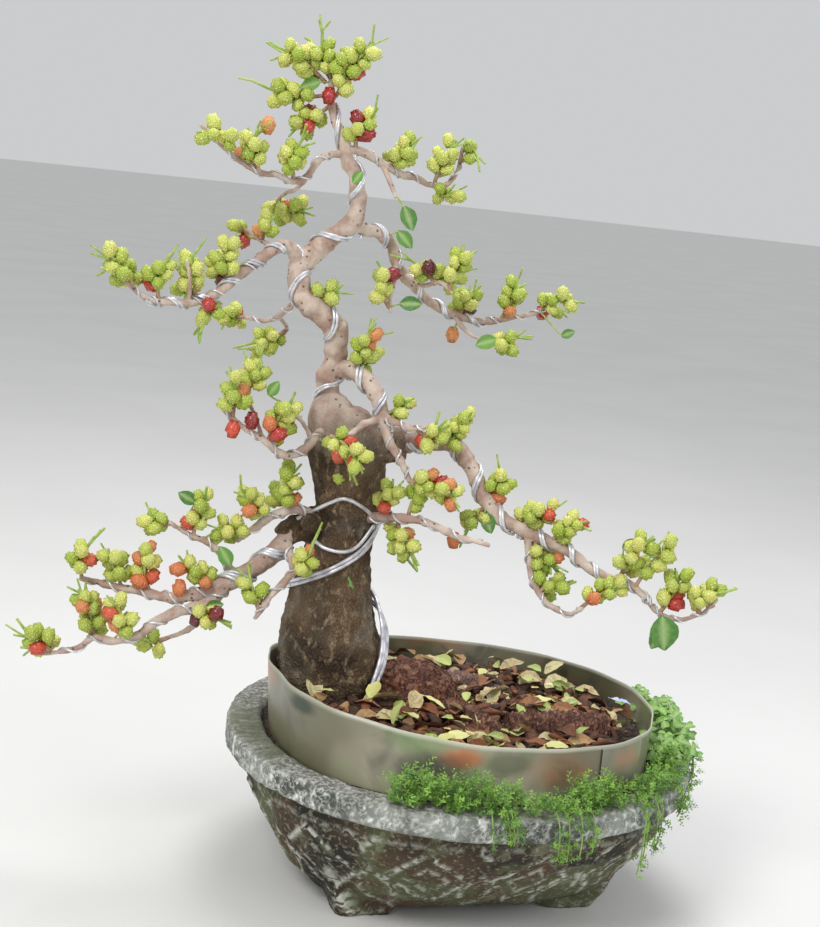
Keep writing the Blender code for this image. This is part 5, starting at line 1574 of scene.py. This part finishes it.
def make_litter(look):
    """Bark chips in three sizes, and over them dry leaves, fresh ones and one fallen petal."""
    rng = random.Random(look.seed + 3)
    material = litter_finish()
    parts = []
    for number, (length, width, count, tints) in enumerate((
            (0.02, 0.009, 330, (0.0, 0.55)), (0.012, 0.007, 620, (0.0, 0.75)),
            (0.006, 0.003, 900, (0.0, 0.95)))):
        settings = strewn(rng, count, 0.045, (0.0, 0.005), 0.35, (0.6, 1.3),
                          lambda tints=tints: rng.uniform(*tints))
        parts.append(scatter(f"chips_{number}", chip_form(length, width, number), settings, material))
    settings = strewn(rng, 190, 0.048, (0.004, 0.011), 0.4, (0.6, 1.4),
                      lambda: rng.choice((0.45, 0.55, 0.66, 0.8, 0.92, 1.0)))
    parts.append(scatter("dry_leaves", leaf_form(0.02, 0.011, 0.5, 0.006), settings, material))
    finish_piece(joined("litter", parts), "bark_litter", material)
    settings = strewn(rng, 46, 0.05, (0.008, 0.013), 0.4, (0.7, 1.3), rng.random)
    green = leaf_finish("fallen_green_leaf", (0.16, 0.27, 0.04), (0.58, 0.62, 0.2), 0.45)
    scatter_piece("fallen_green_leaves", leaf_form(0.017, 0.011, 0.35, 0.004), settings, green)
    yellow = leaf_finish("fallen_yellow_leaf", (0.62, 0.58, 0.16), (0.78, 0.76, 0.34), 0.5)
    settings = [(POT_PLACE @ Vector((-0.036, -0.088, soil_level(Vector((-0.02, -0.092, 0))) + 0.008)),
                 Matrix.Rotation(radians(12), 3, "Z"), 1.0, {"tint": 0.5})]
    settings += strewn(rng, 26, 0.05, (0.007, 0.012), 0.35, (0.4, 0.8), rng.random)
    scatter_piece("fallen_yellow_leaves", leaf_form(0.034, 0.019, 0.25, 0.003), settings, yellow,
                  ["fallen_leaf_yellow"])
    pale = leaf_finish("pale_petal", (0.42, 0.46, 0.86), (0.66, 0.7, 0.95), 0.5)
    spot = Vector((0.118, -0.052, 0))
    settings = [(POT_PLACE @ Vector((spot.x, spot.y, soil_level(spot) + 0.024)),
                 Matrix.Rotation(2.0 * index, 3, "Z"), 1.0, {"tint": 0.5 * index}) for index in range(2)]
    return scatter_piece("fallen_petal", leaf_form(0.012, 0.009, 0.3, 0.002), settings, pale)


def clover_form(tilt=0.28):
    """Three heart-shaped leaflets on one stalk's end."""
    builder = bmesh.new()
    ribs = []
    for turn in (0, 120, 240):
        spin = Matrix.Rotation(radians(turn), 3, "Z")
        outline = [(0.0, 0.0), (0.34, 0.3), (0.72, 0.46), (0.98, 0.34), (0.86, 0.0)]
        middle = [builder.verts.new(spin @ Vector((x, 0, -tilt * x * x))) for x in (0.0, 0.45, 0.86)]
        ribs += [1.0, 1.0, 1.0]
        for sign in (1, -1):
            edge = [builder.verts.new(spin @ Vector((x, y * sign, -tilt * x * x + 0.12 * y))) for x,
                    y in outline[1:4]]
            ribs += [0.0, 0.0, 0.0]
            order = [(middle[0], edge[0], middle[1]), (middle[1], edge[0], edge[1]),
                     (middle[1], edge[1], edge[2], middle[2])]
            for face in order:
                builder.faces.new(face if sign > 0 else tuple(reversed(face)))
    form = mesh_of("clover_form", builder)
    set_values(form.data, "rib", ribs)
    return form


def sprig_form():
    """A short creeping sprig with pairs of tiny oval leaves."""
    builder = bmesh.new()
    ribs = []
    for index in range(5):
        height = 0.25 + index * 0.19
        for sign in (-1, 1):
            angle = index * 1.9 + (0 if sign > 0 else pi)
            way = Vector((cos(angle), sin(angle), 0.45))
            side = Vector((-sin(angle), cos(angle), 0))
            base = Vector((0.1 * index * 0.4, 0, height))
            size = 0.34 - index * 0.03
            corners = [base, base + way * size * 0.5 + side * size * 0.3, base + way * size,
                       base + way * size * 0.5 - side * size * 0.3]
            builder.faces.new([builder.verts.new(corner) for corner in corners])
            ribs += [0.4, 0.0, 0.0, 0.0]
    form = mesh_of("sprig_form", builder, smooth=False)
    set_values(form.data, "rib", ribs)
    return form


def ledge_place(turn_deg, inward, height):
    """A place over the rim: a turn in degrees, millimetres in from the rim's edge and over the ledge."""
    angle = radians(turn_deg)
    halves = (RIM_HALF[0] - inward * MM, RIM_HALF[1] - inward * MM)
    return POT_PLACE @ oval_point(angle, *halves, 2.1, POT_HEIGHT + height * MM)


def make_weeds(look):
    """Clover at the right end, small creeping weed along the front, and trailing stems over the rim."""
    rng = random.Random(look.seed + 4)
    clover_material = leaf_finish("clover_leaf", look.clover_dark, look.clover_light, 0.45)
    stem_runs, settings = [], []
    for _ in range(look.clover_count):
        turn, inward = rng.uniform(-30, 20), rng.uniform(3, 34)
        rise = rng.uniform(8, 34) * (1 - abs(turn + 6) / 46)
        foot = ledge_place(turn, inward, 0)
        head = ledge_place(turn + rng.uniform(-4, 4), inward + rng.uniform(-8, 4), rise)
        stem_runs.append([(foot, 0.0005), (foot.lerp(head, 0.6) + Vector((0, 0, 0.003)), 0.00045),
                          (head, 0.0004)])
        way = Vector((rng.uniform(-0.6, 0.6), -0.5 + rng.uniform(-0.5, 0.5), 1))
        settings.append((head, spun(way, rng), rng.uniform(0.007, 0.0102), {"tint": rng.random()}))
    scatter_piece("clover_leaves", clover_form(), settings, clover_material, ["clover_patch"])
    weed_material = leaf_finish("creeping_weed", look.weed_dark, look.weed_light, 0.5)
    settings = []
    for _ in range(look.weed_count):
        turn = rng.uniform(236, 330)
        inward = rng.uniform(2, 30)
        place = ledge_place(turn, inward, 0)
        thick = clamped(0.55 + jitter(place, 0.02, 3.0) * 1.5 + (0.5 if turn < 258 else 0), 0, 1.3)
        if rng.random() > thick + 0.15:
            continue
        place.z += rng.uniform(-2, 19) * thick * MM
        way = Vector((rng.uniform(-0.8, 0.8), rng.uniform(-1.0, 0.3), 1))
        settings.append((place, spun(way, rng), rng.uniform(0.006, 0.012), {"tint": rng.random()}))
    scatter_piece("creeping_weeds", sprig_form(), settings, weed_material, ["weed_mat"])
    settings = []
    for turn, drop, spread, count in ((277, 50, 12, 60), (300, 62, 7, 42), (342, 58, 10, 46), (263, 20, 8, 24),
                                      (316, 24, 7, 26)):
        for strand in range(4):
            angle = turn + rng.uniform(-spread, spread) / 2
            reach = drop * rng.uniform(0.5, 1.0)
            points = [ledge_place(angle, 12, 6), ledge_place(angle + 0.6, 1, 5), ledge_place(angle + 1, -4, -4),
                      ledge_place(angle + 1.4, -4, -reach * 0.6), ledge_place(angle + 1.8, -1, -reach)]
            stem_runs.append(smooth_run([(place, 0.0006) for place in points], 0.005))
            run = smooth_run([(place, 1) for place in points], 0.0012)
            for _ in range(count // 4 + 6):
                place = rng.choice(run)[0] + Vector([rng.uniform(-0.003, 0.003) for _ in range(3)])
                way = Vector((rng.uniform(-1, 1), rng.uniform(-1.2, 0), rng.uniform(-0.6, 0.8)))
                settings.append((place, spun(way, rng), rng.uniform(0.006, 0.01), {"tint": rng.random()}))
    scatter_piece("trailing_weeds", sprig_form(), settings, weed_material, ["weed_strand"])
    stems = swept("stems", stem_runs, 5, weed_material)
    for key, value in (("tint", 0.7), ("rib", 0.5)):
        set_values(stems.data, key, [value] * len(stems.data.vertices))
    return finish_piece(stems, "weed_stems", weed_material)


# ---- Settings ----


def tone(name, description, default):
    return FloatVectorProperty(name=name, description=description, default=default, size=3, min=0, max=1,
                               subtype="COLOR")


def reach(name, description, default):
    return FloatProperty(name=name, description=description, default=default, min=0, unit="LENGTH", precision=4)


class BonsaiPotSettings(bpy.types.PropertyGroup):
    """How the cast pot is worked and stained."""

    hammer: reach("Hammer marks", "Depth of the scoops in the rim's edge", 0.0034)
    relief: reach("Relief", "Height of the carved lines on the bowl", 0.0026)
    pot_voxel: reach("Grain size", "Size of the cells that the cast body is grown from", 0.0023)
    rim_dark: tone("Rim, dark", "Colour of the rim's hollows", (0.07, 0.078, 0.062))
    rim_grey: tone("Rim, grey", "Colour of the rim's face", (0.27, 0.29, 0.26))
    vein_white: tone("Rim veins", "Colour of the pale lines across the rim", (0.86, 0.88, 0.84))
    sheet_dark: tone("Collar, dark", "Darker clouds of the plastic collar", (0.15, 0.145, 0.085))
    sheet_light: tone("Collar, light", "Paler clouds of the plastic collar", (0.42, 0.385, 0.285))


class BonsaiWoodSettings(bpy.types.PropertyGroup):
    """Bark colours, and how fine the trunk and limbs are grown."""

    trunk_voxel: reach("Trunk detail", "Size of the cells that the trunk is grown from", 0.0013)
    limb_voxel: reach("Limb detail", "Size of the cells that a limb is grown from", 0.0008)
    bark_dark: tone("Old bark, dark", "Dark patches of the lower trunk", (0.045, 0.03, 0.02))
    bark_brown: tone("Old bark, brown", "Brown patches of the lower trunk", (0.165, 0.103, 0.058))
    bark_flake: tone("Old bark, flakes", "Paler flakes of the lower trunk", (0.34, 0.25, 0.155))
    bark_pink: tone("Young bark, pink", "Pinkish tan of the upper wood", (0.4, 0.265, 0.215))
    bark_pale: tone("Young bark, pale", "Pale tan of the upper wood", (0.64, 0.53, 0.45))
    wire_color: tone("Wire", "Colour of the training wire", (0.78, 0.78, 0.83))
    wire_metal: FloatProperty(name="Wire metal", description="How metallic the wire is", default=0.55, min=0,
                              max=1)


class BonsaiFruitSettings(bpy.types.PropertyGroup):
    """Fruit sizes, colours and spacing."""

    seed: IntProperty(name="Seed", description="Starts the pattern of shoots and fruit", default=7, min=0)
    fruit_radius: reach("Fruit radius", "Radius of a mulberry", 0.0052)
    fruit_length: reach("Fruit length", "Length of a mulberry", 0.0138)
    fruit_spacing: reach("Fruit spacing", "Least distance between two mulberries' middles", 0.0086)
    back_shoots: FloatProperty(name="Back shoots", description="Share of shoots with a second one behind",
                               default=0.4,
                               min=0, max=1, subtype="FACTOR")
    fruit_green: tone("Green fruit", "Youngest fruit", (0.46, 0.6, 0.07))
    fruit_yellow: tone("Yellow-green fruit", "Fruit before it turns", (0.8, 0.84, 0.22))
    shoot_green: tone("Shoot", "Young shoots", (0.26, 0.4, 0.055))
    leaf_dark: tone("Leaf, dark", "Darker leaves", (0.035, 0.13, 0.022))
    leaf_light: tone("Leaf, light", "Lighter leaves", (0.15, 0.36, 0.06))


class BonsaiGroundSettings(bpy.types.PropertyGroup):
    """Litter and weeds over the soil and the rim."""

    seed: IntProperty(name="Seed", description="Starts the pattern of litter and weeds", default=11, min=0)
    clover_count: IntProperty(name="Clover", description="Clover leaves at the right end", default=120, min=1)
    weed_count: IntProperty(name="Weed", description="Sprigs of creeping weed along the front", default=1500,
                            min=1)
    clover_dark: tone("Clover, dark", "Darker clover leaves", (0.045, 0.2, 0.018))
    clover_light: tone("Clover, light", "Lighter clover leaves", (0.2, 0.45, 0.06))
    weed_dark: tone("Weed, dark", "Darker weed leaves", (0.03, 0.14, 0.012))
    weed_light: tone("Weed, light", "Lighter weed leaves", (0.24, 0.46, 0.05))


class BonsaiStageSettings(bpy.types.PropertyGroup):
    """Floor, light and camera."""

    floor: tone("Floor", "Colour of the pale floor", (0.76, 0.76, 0.75))
    key: FloatProperty(name="Key light", description="Strength of the main light", default=26, min=0,
                       unit="POWER")
    fill: FloatProperty(name="Fill light", description="Strength of the light opposite", default=8, min=0,
                        unit="POWER")
    lens: FloatProperty(name="Lens", description="Focal length in millimetres", default=63.64, min=1)
    pitch: FloatProperty(name="Pitch", description="How far the camera looks down", default=radians(10.392),
                         subtype="ANGLE")
    roll: FloatProperty(name="Roll", description="How far the camera leans", default=radians(6.152),
                        subtype="ANGLE")


SETTINGS = {
    "bonsai_pot": BonsaiPotSettings, "bonsai_wood": BonsaiWoodSettings, "bonsai_fruit": BonsaiFruitSettings,
    "bonsai_ground": BonsaiGroundSettings, "bonsai_stage": BonsaiStageSettings,
}


# ---- Operators ----


class BONSAI_OT_pot(bpy.types.Operator):
    """Cast the pot, with its hammered rim, carved bowl and four feet"""

    bl_idname = "bonsai.pot"
    bl_label = "Pot"

    def execute(self, context):
        make_pot(context.scene.bonsai_pot)
        drain_material = mesh_finish()
        for name in nodes_like("drain_mesh_"):
            for slot in frame["nodes"][name].material_slots:
                slot.material = drain_material
        return {"FINISHED"}


class BONSAI_OT_collar(bpy.types.Operator):
    """Stand the sheet collar inside the rim"""

    bl_idname = "bonsai.collar"
    bl_label = "Collar"

    def execute(self, context):
        make_collar(context.scene.bonsai_pot)
        return {"FINISHED"}


class BONSAI_OT_soil(bpy.types.Operator):
    """Heap the soil, and lay the roots and the root ball on it"""

    bl_idname = "bonsai.soil"
    bl_label = "Soil and Roots"

    def execute(self, context):
        make_soil()
        make_roots(root_finish())
        return {"FINISHED"}


class BONSAI_OT_trunk(bpy.types.Operator):
    """Grow the trunk"""

    bl_idname = "bonsai.trunk"
    bl_label = "Trunk"

    def execute(self, context):
        make_trunk(context.scene.bonsai_wood)
        return {"FINISHED"}


class BONSAI_OT_limbs(bpy.types.Operator):
    """Grow the limbs and their side branches"""

    bl_idname = "bonsai.limbs"
    bl_label = "Limbs"

    def execute(self, context):
        wood = context.scene.bonsai_wood
        material = bark_finish("limb_bark", wood, 0.1, 0.2)
        for number, name in enumerate(LIMBS):
            make_limb(name, wood, number, material)
        return {"FINISHED"}


class BONSAI_OT_wires(bpy.types.Operator):
    """Wind the training wire round the trunk and the limbs"""

    bl_idname = "bonsai.wires"
    bl_label = "Training Wire"

    def execute(self, context):
        metal = wire_finish(context.scene.bonsai_wood)
        around_limbs = joined("limb_wires", make_wires(metal))
        around_trunk = joined("trunk_wires", make_trunk_wires(metal))
        trunk_nodes = nodes_like("wire_trunk_")
        finish_piece(around_trunk, "trunk_wires", metal, trunk_nodes)
        finish_piece(around_limbs, "limb_wires", metal,
                     [name for name in nodes_like("wire_") if name not in trunk_nodes])
        return {"FINISHED"}


class BONSAI_OT_fruit(bpy.types.Operator):
    """Hang the mulberries on their shoots"""

    bl_idname = "bonsai.fruit"
    bl_label = "Fruit"

    def execute(self, context):
        make_fruit(context.scene.bonsai_fruit)
        return {"FINISHED"}


class BONSAI_OT_shoots(bpy.types.Operator):
    """Grow the fruiting shoots and their bare cut ends"""

    bl_idname = "bonsai.shoots"
    bl_label = "Shoots"

    def execute(self, context):
        make_shoots(context.scene.bonsai_fruit)
        return {"FINISHED"}


class BONSAI_OT_leaves(bpy.types.Operator):
    """Set the few leaves left after pruning"""

    bl_idname = "bonsai.leaves"
    bl_label = "Leaves"

    def execute(self, context):
        make_leaves(context.scene.bonsai_fruit)
        return {"FINISHED"}


class BONSAI_OT_litter(bpy.types.Operator):
    """Scatter bark chips and fallen leaves on the soil"""

    bl_idname = "bonsai.litter"
    bl_label = "Litter"

    def execute(self, context):
        make_litter(context.scene.bonsai_ground)
        return {"FINISHED"}


class BONSAI_OT_weeds(bpy.types.Operator):
    """Grow the clover and the creeping weed over the rim"""

    bl_idname = "bonsai.weeds"
    bl_label = "Weeds"

    def execute(self, context):
        make_weeds(context.scene.bonsai_ground)
        return {"FINISHED"}


def add_light(name, place, aim, size, power, color=(1, 1, 1)):
    data = bpy.data.lights.new(name, "AREA")
    data.shape = "DISK"
    data.size = size
    data.energy = power
    data.color = color
    light = linked(name, data)
    light.location = place
    light.rotation_euler = (aim - place).to_track_quat("-Z", "Y").to_euler()


class BONSAI_OT_stage(bpy.types.Operator):
    """Lay the floor and set the lights and the camera"""

    bl_idname = "bonsai.stage"
    bl_label = "Stage"

    def execute(self, context):
        look = context.scene.bonsai_stage
        builder = bmesh.new()
        bmesh.ops.create_circle(builder, cap_ends=True, segments=96, radius=24)
        floor = build("floor", builder, smooth=False)
        mat = Finish("floor_paper")
        speckle = mat.patches(3.0, 0.3, 0.7)
        shade = tuple(channel * 0.96 for channel in look.floor)
        floor.data.materials.append(mat.set(Base_Color=mat.mix(speckle, look.floor, shade),
                                            Roughness=mat.squeeze(speckle, 0, 1, 0.85, 0.9)))
        world = bpy.data.worlds.new("studio")
        world.use_nodes = True
        sky = world.node_tree.nodes["Background"].inputs
        sky["Color"].default_value = (0.8, 0.81, 0.82, 1)
        sky["Strength"].default_value = 0.75
        context.scene.world = world
        aim = MIDDLE + Vector((-0.06, 0, 0.34))
        add_light("key", aim + Vector((-0.9, -1.5, 1.5)), aim, 0.9, look.key, (1.0, 0.98, 0.95))
        add_light("fill", aim + Vector((1.6, -0.9, 0.7)), aim, 1.4, look.fill, (0.95, 0.97, 1.0))
        add_light("top", aim + Vector((0.1, 0.5, 1.7)), aim, 1.0, look.key * 0.7)
        context.scene.view_settings.view_transform = "Standard"
        data = bpy.data.cameras.new("camera")
        data.lens = look.lens
        data.sensor_width = 36
        data.clip_start = 0.05
        data.clip_end = 100
        camera = linked("camera", data)
        ahead = Vector((0, cos(look.pitch), -sin(look.pitch)))
        level_up = Vector((0, sin(look.pitch), cos(look.pitch)))
        right = Vector((cos(look.roll), 0, 0)) + level_up * sin(look.roll)
        up = Vector((-sin(look.roll), 0, 0)) + level_up * cos(look.roll)
        camera.matrix_world = Matrix.Translation(MIDDLE + EYE) @ Matrix((right, up,
                -ahead)).transposed().to_4x4()
        context.scene.camera = camera
        return {"FINISHED"}


OPERATORS = (
    BONSAI_OT_pot, BONSAI_OT_collar, BONSAI_OT_soil, BONSAI_OT_trunk, BONSAI_OT_limbs, BONSAI_OT_wires,
    BONSAI_OT_fruit, BONSAI_OT_shoots, BONSAI_OT_leaves, BONSAI_OT_litter, BONSAI_OT_weeds, BONSAI_OT_stage,
)


class BONSAI_PT_panel(bpy.types.Panel):
    """Lists the pieces and their settings"""

    bl_idname = "BONSAI_PT_panel"
    bl_label = "Fruiting Bonsai"
    bl_space_type = "VIEW_3D"
    bl_region_type = "UI"
    bl_category = "Bonsai"

    def draw(self, context):
        for operator in OPERATORS:
            self.layout.operator(operator.bl_idname)
        for name, group in SETTINGS.items():
            box = self.layout.box()
            box.label(text=group.bl_rna.name)
            for key in group.__annotations__:
                box.prop(getattr(context.scene, name), key)


CLASSES = (*SETTINGS.values(), *OPERATORS, BONSAI_PT_panel)


def register():
    for cls in CLASSES:
        bpy.utils.register_class(cls)
    for name, group in SETTINGS.items():
        setattr(bpy.types.Scene, name, PointerProperty(type=group))


def unregister():
    for name in SETTINGS:
        delattr(bpy.types.Scene, name)
    for cls in reversed(CLASSES):
        bpy.utils.unregister_class(cls)


def main():
    register()
    for step in ("stage", "pot", "collar", "soil", "trunk", "limbs", "wires", "fruit", "shoots", "leaves",
                 "litter", "weeds"):
        getattr(bpy.ops.bonsai, step)()


if __name__ == "__main__":
    main()
